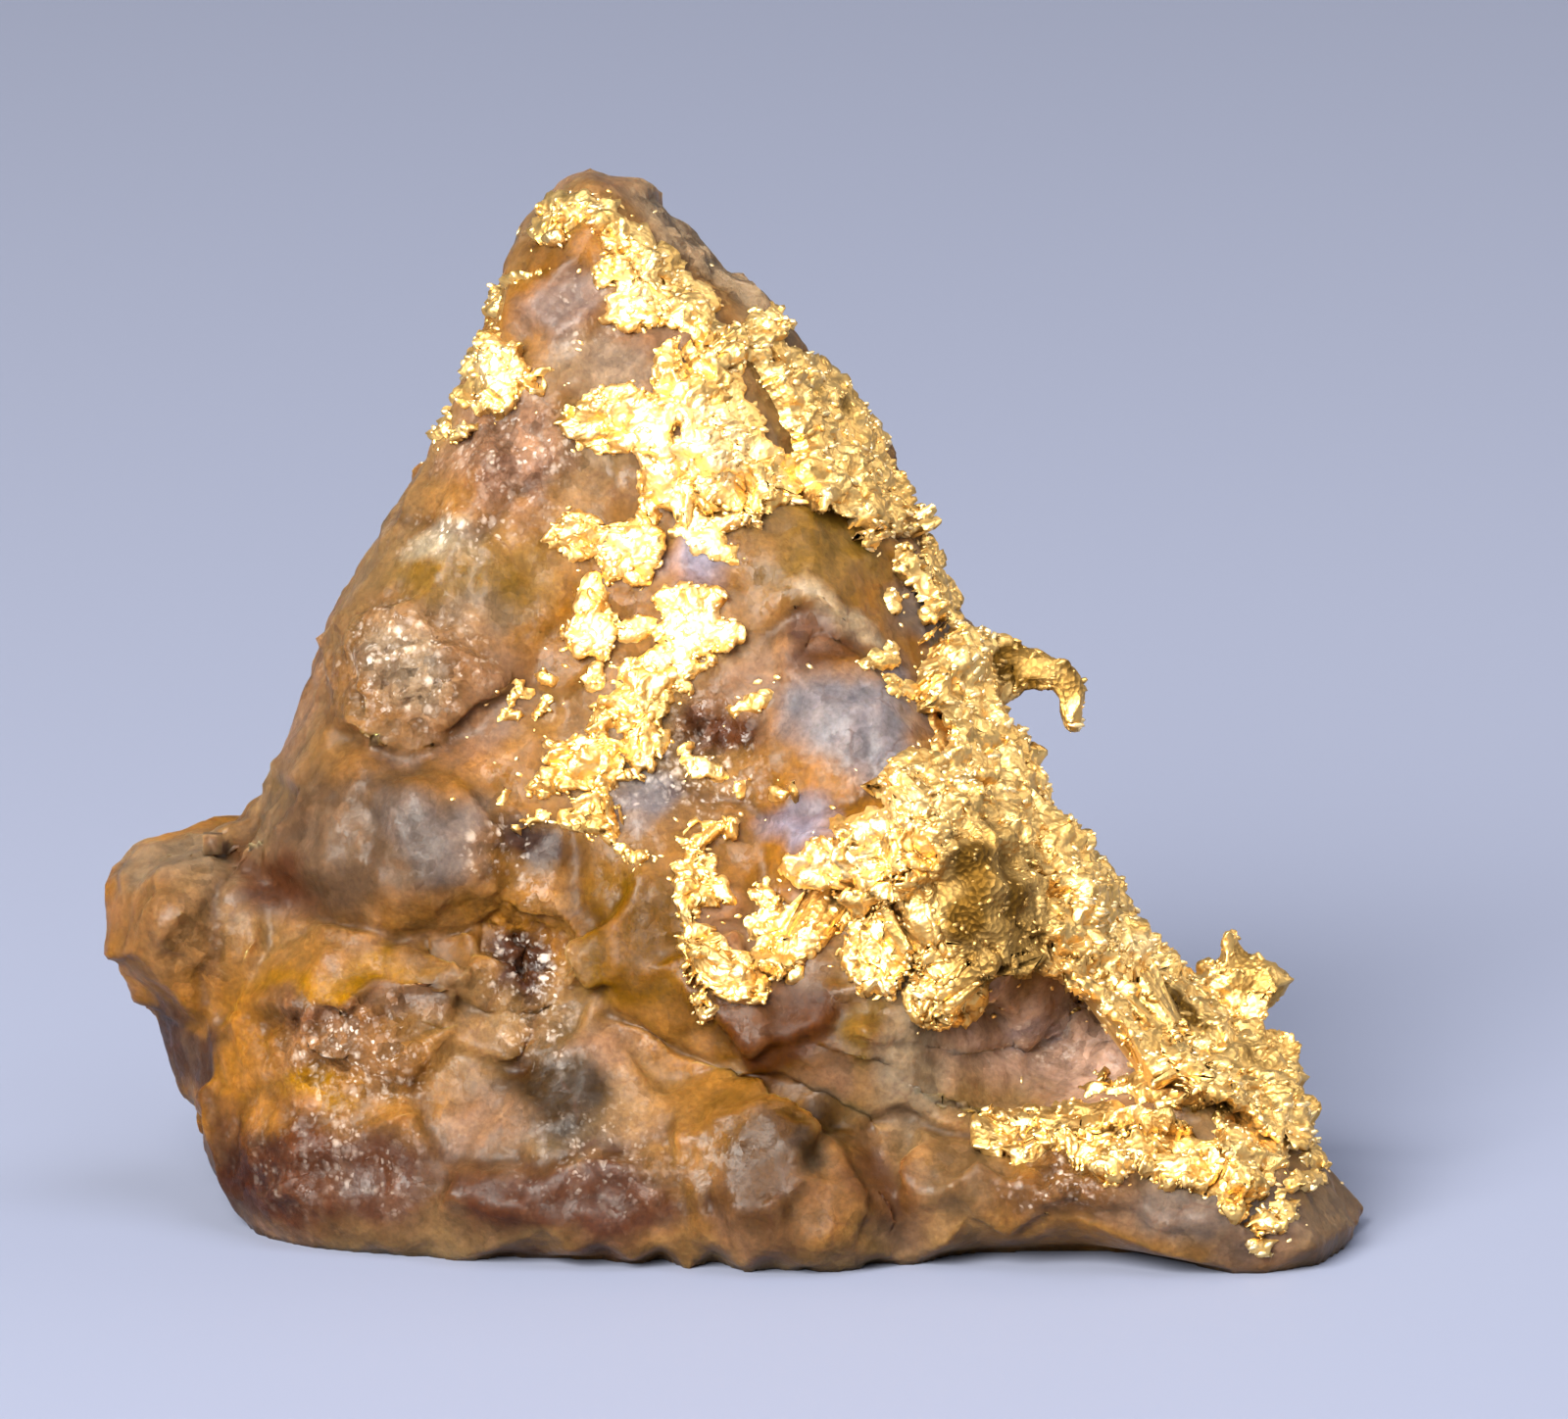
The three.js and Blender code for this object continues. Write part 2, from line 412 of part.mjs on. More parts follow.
const CRUSTS = {
  gold_crown_crust: {
    thick: 0.45,
    outline: [
      [-4.8, 25.5], [-4.5, 25.9], [-3.4, 25.9], [-2.5, 25.5], [-1.9, 24.8], [-1.0, 24.2], [-0.5, 23.8],
      [-0.4, 22.8], [-1.0, 22.8], [-1.7, 23.0], [-2.2, 22.6], [-3.0, 22.9], [-3.5, 23.9], [-3.3, 24.5],
      [-3.9, 24.8], [-4.5, 24.9],
    ],
  },
  gold_left_edge_crust: {
    thick: 0.6,
    backEdge: [[0.2, 23], [0.4, 21.8], [0.9, 21.0], [0.5, 19]],
    outline: [
      [-7.4, 19.9], [-7.0, 21.1], [-6.5, 22.2], [-5.5, 22.4], [-5.1, 21.7], [-4.5, 21.4], [-4.8, 21.1],
      [-5.8, 20.7], [-6.5, 20.4],
    ],
  },
  gold_upper_sheet: {
    thick: 0.7,
    backEdge: [
      [0.2, 24], [0.9, 22.6], [0.4, 21.6], [1.4, 20.6], [0.8, 19.4], [1.5, 18.4], [0.5, 17.2], [0.7, 15.5],
    ],
    outline: [
      [-3.9, 20.4], [-3.5, 20.8], [-2.2, 21.0], [-1.8, 21.6], [-1.8, 22.0], [-1.1, 22.3], [-0.1, 22.3],
      [0.0, 23.4], [0.7, 23.5], [2.4, 22.1], [3.5, 22.0], [4.4, 21.4], [5.8, 18.8], [6.4, 17.0], [6.4, 15.6],
      [5.6, 15.4], [5.2, 16.4],
      [4.2, 17.3], [3.8, 17.9], [3.0, 18.5], [2.2, 18.8], [1.5, 18.4], [0.4, 17.6], [-0.6, 18.1],
      [-1.0, 17.9], [-1.9, 18.4], [-2.3, 19.1], [-3.0, 19.3], [-3.5, 19.7],
    ],
  },
  gold_mid_crust: {
    thick: 0.55,
    outline: [
      [-4.3, 17.9], [-3.5, 18.1], [-2.9, 17.8], [-2.0, 18.0], [-1.7, 17.4], [-1.9, 16.5], [-2.3, 15.8],
      [-2.7, 15.0], [-3.0, 14.4], [-3.6, 14.5], [-4.0, 15.0], [-3.9, 16.0], [-4.1, 16.6], [-4.5, 17.1],
    ],
  },
  gold_centre_crust: {
    thick: 0.5,
    outline: [
      [-1.8, 15.7], [-1.0, 16.0], [-0.1, 16.0], [0.5, 15.4],
      [0.4, 14.7], [-0.3, 14.4], [-1.2, 14.5], [-1.7, 14.9],
    ],
  },
  gold_low_mid_crust: {
    thick: 0.55,
    outline: [
      [-2.7, 14.0], [-1.2, 14.1], [-0.4, 13.9], [-0.6, 13.5], [-1.2, 13.2], [-1.2, 12.0], [-1.5, 11.3],
      [-2.5, 11.5], [-2.8, 11.0], [-2.6, 10.2], [-3.2, 9.6], [-3.9, 9.8], [-4.1, 10.7], [-5.0, 10.1],
      [-5.3, 10.5], [-4.8, 11.0], [-5.1, 11.7], [-4.6, 12.5], [-3.5, 12.8], [-2.7, 13.5],
    ],
  },
  gold_column_crust: {
    thick: 0.6,
    outline: [
      [-1.1, 10.2], [0.1, 10.2], [0.2, 8.5], [-0.1, 7.7], [0.2, 7.0], [1.1, 6.1], [0.8, 5.7], [0.0, 5.5],
      [-0.7, 5.0], [-0.8, 5.5], [-0.5, 6.0], [-1.0, 6.8], [-1.0, 8.5],
    ],
  },
  gold_curtain: {
    thick: 0.9,
    backEdge: [
      [0.4, 15.6], [0.8, 14.2], [1.8, 13.0], [1.2, 11.6], [2.2, 10.4], [1.5, 9.2], [2.6, 7.6], [1.8, 6.6],
      [3.0, 5.4], [2.2, 4.2], [2.6, 2.8], [1.2, 1.8],
    ],
    outline: [
      [1.5, 9.1], [2.6, 9.8], [4.0, 10.5], [3.9, 11.2], [4.7, 11.7], [5.7, 11.9], [6.0, 12.5], [5.7, 13.5],
      [5.4, 15.1], [6.5, 15.3], [7.3, 14.8], [7.5, 13.2], [8.0, 12.6], [8.4, 11.9], [8.5, 11.1], [8.9, 10.5],
      [9.5, 9.8], [10.0, 9.2], [10.4, 8.6], [10.7, 7.8], [10.9, 7.2], [11.4, 6.6], [12.2, 6.3], [13.2, 6.2],
      [14.4, 5.9], [14.8, 5.1], [15.0, 4.3], [15.1, 3.5], [14.9, 2.2], [13.8, 2.8], [12.5, 3.6], [11.5, 3.7],
      [10.3, 4.7], [9.7, 5.3], [8.5, 6.3], [7.4, 6.0], [6.5, 5.6], [5.7, 4.8], [5.0, 5.0], [4.5, 6.0],
      [3.5, 5.9], [3.1, 7.0], [2.3, 7.2], [1.5, 6.5], [0.8, 7.0], [0.9, 7.7], [2.4, 8.2], [1.8, 8.7],
    ],
  },
  gold_ledge_crust: {
    thick: 0.7,
    outline: [
      [6.4, 2.5], [7.3, 2.7], [8.2, 3.0], [9.0, 3.9], [10.3, 3.4], [11.7, 2.9], [13.6, 2.0], [14.9, 1.4],
      [15.3, 1.2], [12.2, 1.3], [10.6, 1.8], [9.7, 1.3], [8.7, 1.9], [7.5, 2.1],
    ],
  },
  gold_foot_crust: {
    thick: 0.45,
    outline: [
      [12.5, 0.8], [13.4, 0.9], [15.1, 0.8], [15.2, 0.5],
      [14.5, 0.0], [14.2, -0.5], [13.5, -0.3], [13.1, 0.1],
    ],
  },
};

// Leaves that stand out from the crusts: the nub on the ridge, and the hook and the curl of the flank.
// The curl is a short stalk behind a rolled lobe, with a spur on its top.
const LEAVES = {
  gold_upper_sheet: [
    {
      front: -0.8,
      back: 0.1,
      outline: [[4.6, 18.7], [5.3, 18.6], [5.9, 18.4], [5.8, 18.1], [5.3, 17.9], [4.6, 17.8]],
    },
  ],
  gold_curtain: [
    {
      front: -1.5,
      back: -0.3,
      outline: [
        [6.1, 15.2], [7.0, 14.9], [7.7, 14.9], [8.3, 14.5], [8.8, 14.2], [9.15, 13.7], [9.15, 13.2],
        [8.95, 12.6], [8.7, 12.9], [8.4, 13.2], [7.9, 13.4], [7.5, 13.1], [6.6, 12.8], [6.0, 13.6],
      ],
    },
    {
      front: -1.3,
      back: 0.1,
      outline: [
        [12.4, 5.2], [12.4, 6.3], [12.6, 6.7], [13.1, 6.9], [13.7, 6.8], [14.1, 6.6], [14.5, 6.2],
        [14.3, 5.8], [14.1, 5.2],
      ],
    },
    { front: -0.9, back: -0.3, outline: [[12.9, 6.7], [13.05, 7.35], [13.4, 7.15], [13.4, 6.7]] },
  ],
};

// Crumbs that an outline cuts loose from the edge of a crust fall away.
const largestOf = (solid) =>
  solid.decompose().reduce((largest, piece) => (piece.volume() > largest.volume() ? piece : largest));

const specimen = new THREE.Group();
const floor = floorBlock();
specimen.add(toMesh("quartz_matrix", toSolid(skinFrom(stoneReach)).subtract(floor), quartz));

for (const [name, crust] of Object.entries(CRUSTS)) {
  let solid = crustOver(crust);
  for (const shape of LEAVES[name] ?? []) {
    solid = solid.add(leaf(shape).subtract(UNDERSIDE));
  }
  specimen.add(toMesh(name, largestOf(solid.subtract(floor)), gold));
}

// The origin is the middle of the specimen's box, on the floor.
const middle = new THREE.Box3().setFromObject(specimen, true).getCenter(new THREE.Vector3());
specimen.position.set(-middle.x, -middle.y, 0);

export default specimen;
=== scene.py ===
"""A hand specimen of native gold on iron-stained vein quartz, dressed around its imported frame."""

import math
from functools import partial

import bmesh
import bpy
import numpy as np
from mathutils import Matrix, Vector, noise
from mathutils.kdtree import KDTree


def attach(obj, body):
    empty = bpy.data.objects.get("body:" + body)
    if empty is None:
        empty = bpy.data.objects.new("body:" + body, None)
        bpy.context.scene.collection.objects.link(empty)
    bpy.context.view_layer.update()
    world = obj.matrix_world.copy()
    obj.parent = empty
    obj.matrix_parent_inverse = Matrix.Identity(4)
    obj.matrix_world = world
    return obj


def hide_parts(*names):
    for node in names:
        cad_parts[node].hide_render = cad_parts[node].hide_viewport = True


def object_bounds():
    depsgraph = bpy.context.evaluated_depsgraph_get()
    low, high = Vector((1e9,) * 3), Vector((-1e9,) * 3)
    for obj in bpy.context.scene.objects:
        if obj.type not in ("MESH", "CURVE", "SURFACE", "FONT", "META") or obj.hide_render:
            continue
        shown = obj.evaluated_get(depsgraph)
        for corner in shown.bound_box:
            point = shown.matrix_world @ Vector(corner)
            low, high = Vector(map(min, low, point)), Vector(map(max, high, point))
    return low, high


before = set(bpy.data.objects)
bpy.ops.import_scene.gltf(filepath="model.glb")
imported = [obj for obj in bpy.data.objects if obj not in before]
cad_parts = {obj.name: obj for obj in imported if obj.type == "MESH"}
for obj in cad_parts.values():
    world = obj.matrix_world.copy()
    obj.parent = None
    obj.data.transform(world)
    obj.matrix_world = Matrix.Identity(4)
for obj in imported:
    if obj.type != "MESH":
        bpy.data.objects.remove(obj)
cad_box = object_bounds()

# ---- Quartz matrix ----
# A broken piece of vein quartz, glassy and half clear, that iron has stained from honey yellow to rust.
# It broke along grain faces, so it is a pile of lumps and small flat facets with dark rust in the creases.
# All sizes are in millimetres, and MM turns them to Blender's metres.
MM = 0.001
LEAN = math.radians(10)  # the front elevation is drawn as seen from this far above
MIDDLE = np.array([0.28, 0.9, 0.0])  # the middle of the stone's box, in the elevation's millimetres
VIEW_AXIS = np.array([0, math.cos(LEAN), -math.sin(LEAN)])  # straight away from the front elevation
BOX_MARGIN = 0.01
WELD = 0.001  # corners of a solid's triangles nearer than this are one corner
STONE_VOXEL = 0.17
WORN_ROUNDS = 5  # how often a new skin is smoothed, to wear the solid's facets off
PULL = 0.6  # how much of the way to its neighbours' middle a point moves in one round
CREASE_ROUNDS = 150  # rounds that bridge the creases and leave the large forms
CREASE_FILL = 0.95
CREASE_DEEPEST = 1.5
CREASE_WORN = 6  # rounds that wear the filled creases smooth
CREASE_WEAR = (0.25, 0.7)  # wear starts in creases this deep, and is full in those
FRONT_FADE = 3  # the front's relief fades out over this depth behind the middle
FOOT_FADE = (0.1, 2.2)  # the relief grows from none to full between these heights, over a flat foot
RELIEF = (-1.2, 0.6)  # the deepest and the highest dressing
FACE_LIMITS = (-0.3, 0.45)  # how far a flat face may cut in and stand out


def smooth_step(value, start, end):
    t = np.clip((value - start) / (end - start), 0, 1)
    return t * t * (3 - 2 * t)


def to_elevation(points):
    """Points in metres as u to the right, w up and v away on the front elevation, in millimetres."""
    x, y, z = ((points / MM) + MIDDLE).T
    return x, z * math.cos(LEAN) + y * math.sin(LEAN), y * math.cos(LEAN) - z * math.sin(LEAN)


def vertex_array(mesh):
    flat = np.empty(len(mesh.vertices) * 3)
    mesh.vertices.foreach_get("co", flat)
    return flat.reshape(-1, 3)


def normal_array(mesh):
    flat = np.empty(len(mesh.vertices) * 3)
    mesh.vertex_normals.foreach_get("vector", flat)
    return flat.reshape(-1, 3)


def set_vertices(mesh, points):
    mesh.vertices.foreach_set("co", points.ravel())
    mesh.update()


def inside_box(points):
    """Points in metres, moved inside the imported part's box where they stand out of it."""
    margin = BOX_MARGIN * MM
    return np.clip(points, np.array(cad_box[0]) + margin, np.array(cad_box[1]) - margin)


def mesh_from(shape, name):
    """A mesh made from a bmesh, which is then freed."""
    mesh = bpy.data.meshes.new(name)
    shape.to_mesh(mesh)
    shape.free()
    return mesh


def new_object(name, data):
    """An object at the origin, unturned, that shows a mesh or holds a light or camera."""
    made = bpy.data.objects.new(name, data)
    bpy.context.scene.collection.objects.link(made)
    return made


def apply_modifiers(piece):
    evaluated = piece.evaluated_get(bpy.context.evaluated_depsgraph_get())
    piece.data = bpy.data.meshes.new_from_object(evaluated)
    piece.modifiers.clear()
    piece.data.name = piece.name


def remeshed_copy(node, voxel):
    """A copy of a frame node's solid as an even mesh of small quads, with its facets worn off."""
    shape = bmesh.new()
    shape.from_mesh(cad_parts[node].data)
    bmesh.ops.remove_doubles(shape, verts=shape.verts, dist=WELD * MM)
    piece = new_object(node + "_dressed", mesh_from(shape, node + "_dressed"))
    remesh = piece.modifiers.new("even skin", "REMESH")
    remesh.mode = "VOXEL"
    remesh.voxel_size = voxel * MM
    wear = piece.modifiers.new("worn facets", "SMOOTH")
    wear.factor = 0.5
    wear.iterations = WORN_ROUNDS
    apply_modifiers(piece)
    return piece


def along(vectors, directions):
    """How far each vector reaches along its own direction."""
    return np.einsum("ij,ij->i", vectors, directions)


def relaxed(mesh, points, rounds):
    """Where the points would lie if the skin were drawn tight over the large forms."""
    ends = np.empty(len(mesh.edges) * 2, dtype=np.int32)
    mesh.edges.foreach_get("vertices", ends)
    one, two = ends.reshape(-1, 2).T
    size = len(points)
    count = np.bincount(ends, minlength=size)[:, None]
    for _ in range(rounds):
        sums = [
            np.bincount(one, points[two, axis], size) + np.bincount(two, points[one, axis], size)
            for axis in range(3)
        ]
        points = (1 - PULL) * points + PULL * np.column_stack(sums) / count
    return points


def tree_of(points):
    """A tree that finds the nearest of the points."""
    tree = KDTree(len(points))
    for index, point in enumerate(points):
        tree.insert(point, index)
    tree.balance()
    return tree


def jittered(points, size, seed):
    """Seeds about `size` apart that fill the points' box, and a tree that finds the nearest."""
    draw = np.random.default_rng(seed)
    low = points.min(axis=0) - size
    high = points.max(axis=0) + size
    lines = [np.arange(start, end, size) for start, end in zip(low, high)]
    cells = np.stack(np.meshgrid(*lines, indexing="ij"), -1).reshape(-1, 3)
    seeds = cells + draw.uniform(-0.5, 0.5, cells.shape) * size
    return draw, seeds, tree_of(seeds)


def two_nearest(points, tree, bevel):
    """Each point's two nearest seeds, and the second's share: a half at the border, 0 past the bevel."""
    found = [tree.find_n(point, 2) for point in points]
    rows = np.array([[near[1] for near in pair] for pair in found])
    gaps = np.array([[near[2] for near in pair] for pair in found])
    return rows, 0.5 - 0.5 * np.clip((gaps[:, 1] - gaps[:, 0]) / bevel, 0, 1)


def broken_faces(points, size, bevel, seed, tilt, step):
    """The height of tilted flat faces about `size` wide, each a small step above or below the next."""
    draw, seeds, tree = jittered(points, size, seed)
    tilts = draw.normal(0, tilt, seeds.shape)
    steps = draw.uniform(-step, step, len(seeds))
    rows, share = two_nearest(points, tree, bevel)
    both = np.einsum("ijk,ijk->ij", points[:, None] - seeds[rows], tilts[rows]) + steps[rows]
    return both[:, 0] * (1 - share) + both[:, 1] * share


def flattened(points, normals, size, bevel, seed):
    """The height that brings a rounded skin to flat faces about `size` wide that meet at worn edges."""
    _, seeds, tree = jittered(points, size, seed)
    rows, share = two_nearest(points, tree, bevel)
    count = np.maximum(np.bincount(rows[:, 0], minlength=len(seeds)), 1)[:, None]
    middle, facing = (
        np.column_stack([np.bincount(rows[:, 0], values[:, axis], len(seeds)) for axis in range(3)]) / count
        for values in (points, normals)
    )
    facing /= np.maximum(np.linalg.norm(facing, axis=1), 0.01)[:, None]
    one, two = (
        along(middle[row] - points, facing[row]) / np.maximum(along(normals, facing[row]), 0.5)
        for row in rows.T
    )
    return np.clip(one * (1 - share) + two * share, *FACE_LIMITS)


def cloud(points, size, seed):
    """Soft noise from about -1 to 1, with lumps about `size` wide."""
    shift = Vector((seed * 17.3, seed * 5.1, seed * 9.7))
    return np.array([noise.noise(Vector(point / size) + shift) for point in points]) * 1.6


def wandered(u, w, points, steps, seed):
    """Places on the elevation moved about softly; each step is how far and how wide its waves are."""
    for number, (far, size) in enumerate(steps):
        u = u + far * cloud(points, size, seed + number)
        w = w + far * cloud(points, size, seed + number + len(steps))
    return u, w


def line_distance(u, w, line):
    """Distance on the elevation from points to a bent line."""
    nearest = np.full(len(u), np.inf)
    for (u0, w0), (u1, w1) in zip(line, line[1:]):
        du, dw = u1 - u0, w1 - w0
        t = np.clip(((u - u0) * du + (w - w0) * dw) / (du * du + dw * dw), 0, 1)
        nearest = np.minimum(nearest, np.hypot(u - u0 - t * du, w - w0 - t * dw))
    return nearest


def oval_depth(u, w, oval):
    """How deep points lie in an oval of the elevation: 1 at its middle, 0 on its edge, below 0 outside."""
    at_u, at_w, half_long, half_wide, turn = oval
    angle = math.radians(turn)
    a = ((u - at_u) * math.cos(angle) + (w - at_w) * math.sin(angle)) / half_long
    b = ((w - at_w) * math.cos(angle) - (u - at_u) * math.sin(angle)) / half_wide
    return 1 - np.hypot(a, b)


def patch(u, w, oval, soft):
    """How much of a point lies in an oval patch: 1 inside, 0 outside, soft at the edge."""
    return np.clip(oval_depth(u, w, oval) / soft, 0, 1)


def strongest(u, w, patches, soft, share=1.0):
    """The most that any patch in a list gives each point."""
    most = np.zeros(len(u))
    for *oval, strength in patches:
        most = np.maximum(most, strength * share * patch(u, w, oval, soft))
    return most


# Open cracks and creases between lumps: the line, its depth and its half width.
CRACKS = [
    ([(-12.7, 9.3), (-10.2, 7.8), (-7.7, 7.0), (-4.7, 7.5)], 0.32, 0.35),
    ([(-12.4, 10.3), (-12.9, 7.9), (-13.2, 5.3)], 0.27, 0.3),
    ([(-3.0, 5.5), (-1.0, 4.3), (0.5, 3.8), (2.3, 3.3), (4.8, 2.5), (7.0, 2.0)], 0.27, 0.25),
    ([(-10.2, 13.0), (-9.2, 12.1), (-8.0, 11.7), (-6.5, 12.5)], 0.18, 0.3),
    ([(3.3, 2.5), (4.1, 1.0), (4.8, -0.5)], 0.18, 0.3),
    ([(-0.4, 0.8), (0.0, 0.1), (0.1, -0.6)], 0.23, 0.18),
    ([(-5.5, 7.5), (-5.0, 6.4), (-4.8, 5.2), (-5.2, 3.8)], 0.27, 0.3),
    ([(-3.8, 10.2), (-3.5, 7.8), (-4.5, 7.0)], 0.18, 0.25),
    ([(-11.8, 5.0), (-9.5, 4.9), (-7.0, 5.6), (-5.8, 5.4)], 0.18, 0.25),
    ([(-7.9, 3.6), (-7.2, 2.0), (-4.6, 1.6), (-1.2, 2.3)], 0.14, 0.25),
    ([(-2.1, 19.2), (-0.9, 17.8), (1.6, 18.1), (2.4, 19.0)], 0.14, 0.3),
    ([(1.0, 14.9), (2.4, 15.2), (3.9, 14.0), (5.2, 13.2)], 0.16, 0.25),
    ([(-1.0, 10.6), (1.8, 10.4), (3.7, 10.9)], 0.16, 0.22),
    ([(-8.4, 17.9), (-6.6, 17.4), (-4.8, 18.6)], 0.11, 0.25),
    ([(-13.6, 2.4), (-11.6, 3.4), (-10.6, 2.4)], 0.14, 0.25),
]
# Patches are ovals on the front elevation: place, half sizes and turn in degrees, then strength.
# Where the quartz broke rough and splintery; elsewhere its grains parted with smooth glassy faces.
ROUGH_PATCHES = [
    (-0.2, 24.6, 3.8, 1.3, -44, 0.8),
    (-5.2, 19.4, 2.4, 2.2, 0, 0.8),
    (-8.2, 14.0, 2.8, 2.2, 0, 1.0),
    (-9.6, 4.4, 3.4, 2.2, 0, 0.9),
    (-5.0, 6.4, 1.8, 3.2, 0, 0.7),
    (-11.2, 1.4, 2.6, 2.2, 0, 0.6),
    (-13.4, 6.6, 1.6, 1.4, 0, 0.6),
    (-0.4, 12.2, 2.2, 1.8, 0, 0.9),
    (8.6, 1.4, 2.6, 1.2, 0, 0.7),
    (9.0, 4.6, 2.6, 1.6, 0, 0.6),
    (-1.5, 1.0, 1.6, 1.4, 0, 0.4),
]
# Where the quartz wore or grew round and glassy.
CALM_PATCHES = [
    (-8.6, 9.7, 4.0, 3.2, 0, 0.85),
    (-14.2, 8.4, 2.4, 2.0, 0, 0.7),
    (-3.6, 25.6, 2.4, 2.0, 0, 0.8),
    (3.3, 12.5, 2.2, 1.7, -6, 0.6),
    (2.4, 17.0, 2.2, 2.2, 0, 0.5),
    (15.0, 0.6, 1.6, 1.8, 0, 0.7),
]
# Hollows of the solid that are made shallower: the strength is how far they move away, so below 0.
HOLLOWS = [
    (6.4, 7.6, 2.3, 1.4, -65, -0.5),
    (4.4, 10.0, 2.9, 1.3, 22, -0.7),
    (8.6, 9.3, 2.4, 1.0, -60, -0.4),
    (-5.4, 6.9, 2.3, 1.9, 0, -1.0),
]
SMOOTH_SHARE = 0.25  # how much of the splintery relief the smooth faces keep
BACK_ROUGH = 0.45  # how rough the back's rough parts are
# Flat faces worn into the round forms: height, least share on smooth stone, width, bevel and seed.
WORN_FACES = [(0.85, 1, 2.6, 0.12, 3), (0.5, 0.4, 1.1, 0.08, 31)]
# Tilted faces of broken grains: the same five, then how far they tilt and how they step.
BROKEN_FACES = [
    (0.2, 1, 2.6, 0.12, 3, 0.22, 0.10),
    (0.45, 0.25, 1.2, 0.10, 5, 0.30, 0.08),
    (0.60, 0, 0.55, 0.08, 7, 0.36, 0.05),
]
CRACK_WANDER = 0.25


def set_back(u, w):
    """How far the front moves away from the viewer at each place of the elevation; below 0 is nearer."""
    depth = np.zeros(len(u))
    for *oval, deep in HOLLOWS:
        share = patch(u, w, oval, 1.0)
        depth += deep * share * share * (3 - 2 * share)
    return depth


quartz = remeshed_copy("quartz_matrix", STONE_VOXEL)
places = vertex_array(quartz.data)
outward = normal_array(quartz.data)
stone_start = places.copy()
u, w, v = to_elevation(places)
millimetres = places / MM
front = np.clip(1 - v / FRONT_FADE, 0, 1)
rough = SMOOTH_SHARE + BACK_ROUGH * np.clip(0.2 + cloud(millimetres, 4.0, 21), 0, 1) * (1 - front)
rough = np.maximum(rough, strongest(u, w, ROUGH_PATCHES, 0.6, front))
tight = relaxed(quartz.data, millimetres, CREASE_ROUNDS)
crease = along(tight - millimetres, outward)
height = CREASE_FILL * np.clip(crease, 0, CREASE_DEEPEST)
drawn = millimetres + outward * height[:, None]
calm = np.maximum(strongest(u, w, CALM_PATCHES, 0.5, front), np.clip(2 * crease - 0.4, 0, 1))
for high, least, *faces in WORN_FACES:
    height += high * flattened(drawn, outward, *faces) * (least + (1 - least) * rough) * (1 - calm)
for high, least, *faces in BROKEN_FACES:
    height += high * broken_faces(millimetres, *faces) * (least + (1 - least) * rough)
height += 0.06 * cloud(millimetres, 1.3, 2) + 0.05 * cloud(millimetres, 0.4, 4) * rough
crack_dark = np.zeros(len(u))
wander = CRACK_WANDER * cloud(millimetres, 1.1, 6)
for line, depth, width in CRACKS:
    near = np.exp(-((line_distance(u + wander, w - wander, line) / width) ** 2)) * front
    height -= depth * near
    crack_dark = np.maximum(crack_dark, near)
height = np.clip(height, *RELIEF)
height = relaxed(quartz.data, height[:, None].repeat(3, axis=1), 1)[:, 0]
foot = smooth_step(millimetres[:, 2], *FOOT_FADE)
places = places + outward * (height * foot * MM)[:, None]
places += set_back(u, w)[:, None] * front[:, None] * foot[:, None] * VIEW_AXIS * MM
filled = smooth_step(crease, *CREASE_WEAR)[:, None]
places += filled * (relaxed(quartz.data, places, CREASE_WORN) - places)
places = inside_box(places)
places[:, 2] = np.where(foot <= 0, 0, places[:, 2])
set_vertices(quartz.data, places)
quartz.data.shade_smooth()

# What iron does to quartz, from none of it to solid limonite; a few tints are also painted darker or paler
# as painted shade and painted light.
TINTS = {
    "honey stone": "#92683e",
    "tan stone": "#856c50",
    "milk": "#b4a894",
    "lavender": "#948f9c",
    "grey": "#827d80",
    "dim grey": "#6b615c",
    "smoke": "#5a4637",
    "tan": "#93826f",
    # The tan shade, sand shade, orange shade, olive, deep honey and amber tints are iron stains made darker
    # as painted shade, standing in for the weaker light on the lower stone.
    "tan shade": "#432a15",
    "sand": "#7e6c59",
    "sand shade": "#67523e",
    "honey": "#7a5e36",
    "deep honey": "#674611",
    "olive": "#251807",
    "ochre": "#9b712e",
    "amber": "#4c2a06",
    "orange": "#79593e",
    "orange shade": "#5c4131",
    "clay": "#8a6d5e",
    "foot clay": "#442319",
    "burnt": "#2d140c",
    "mauve": "#30201d",
    # The cave wall tint is paler than the stone as painted light, standing in for light that reaches into
    # the cave.
    "cave wall": "#c4a696",
    "rust": "#49291c",
    "dark rust": "#341f1b",
}
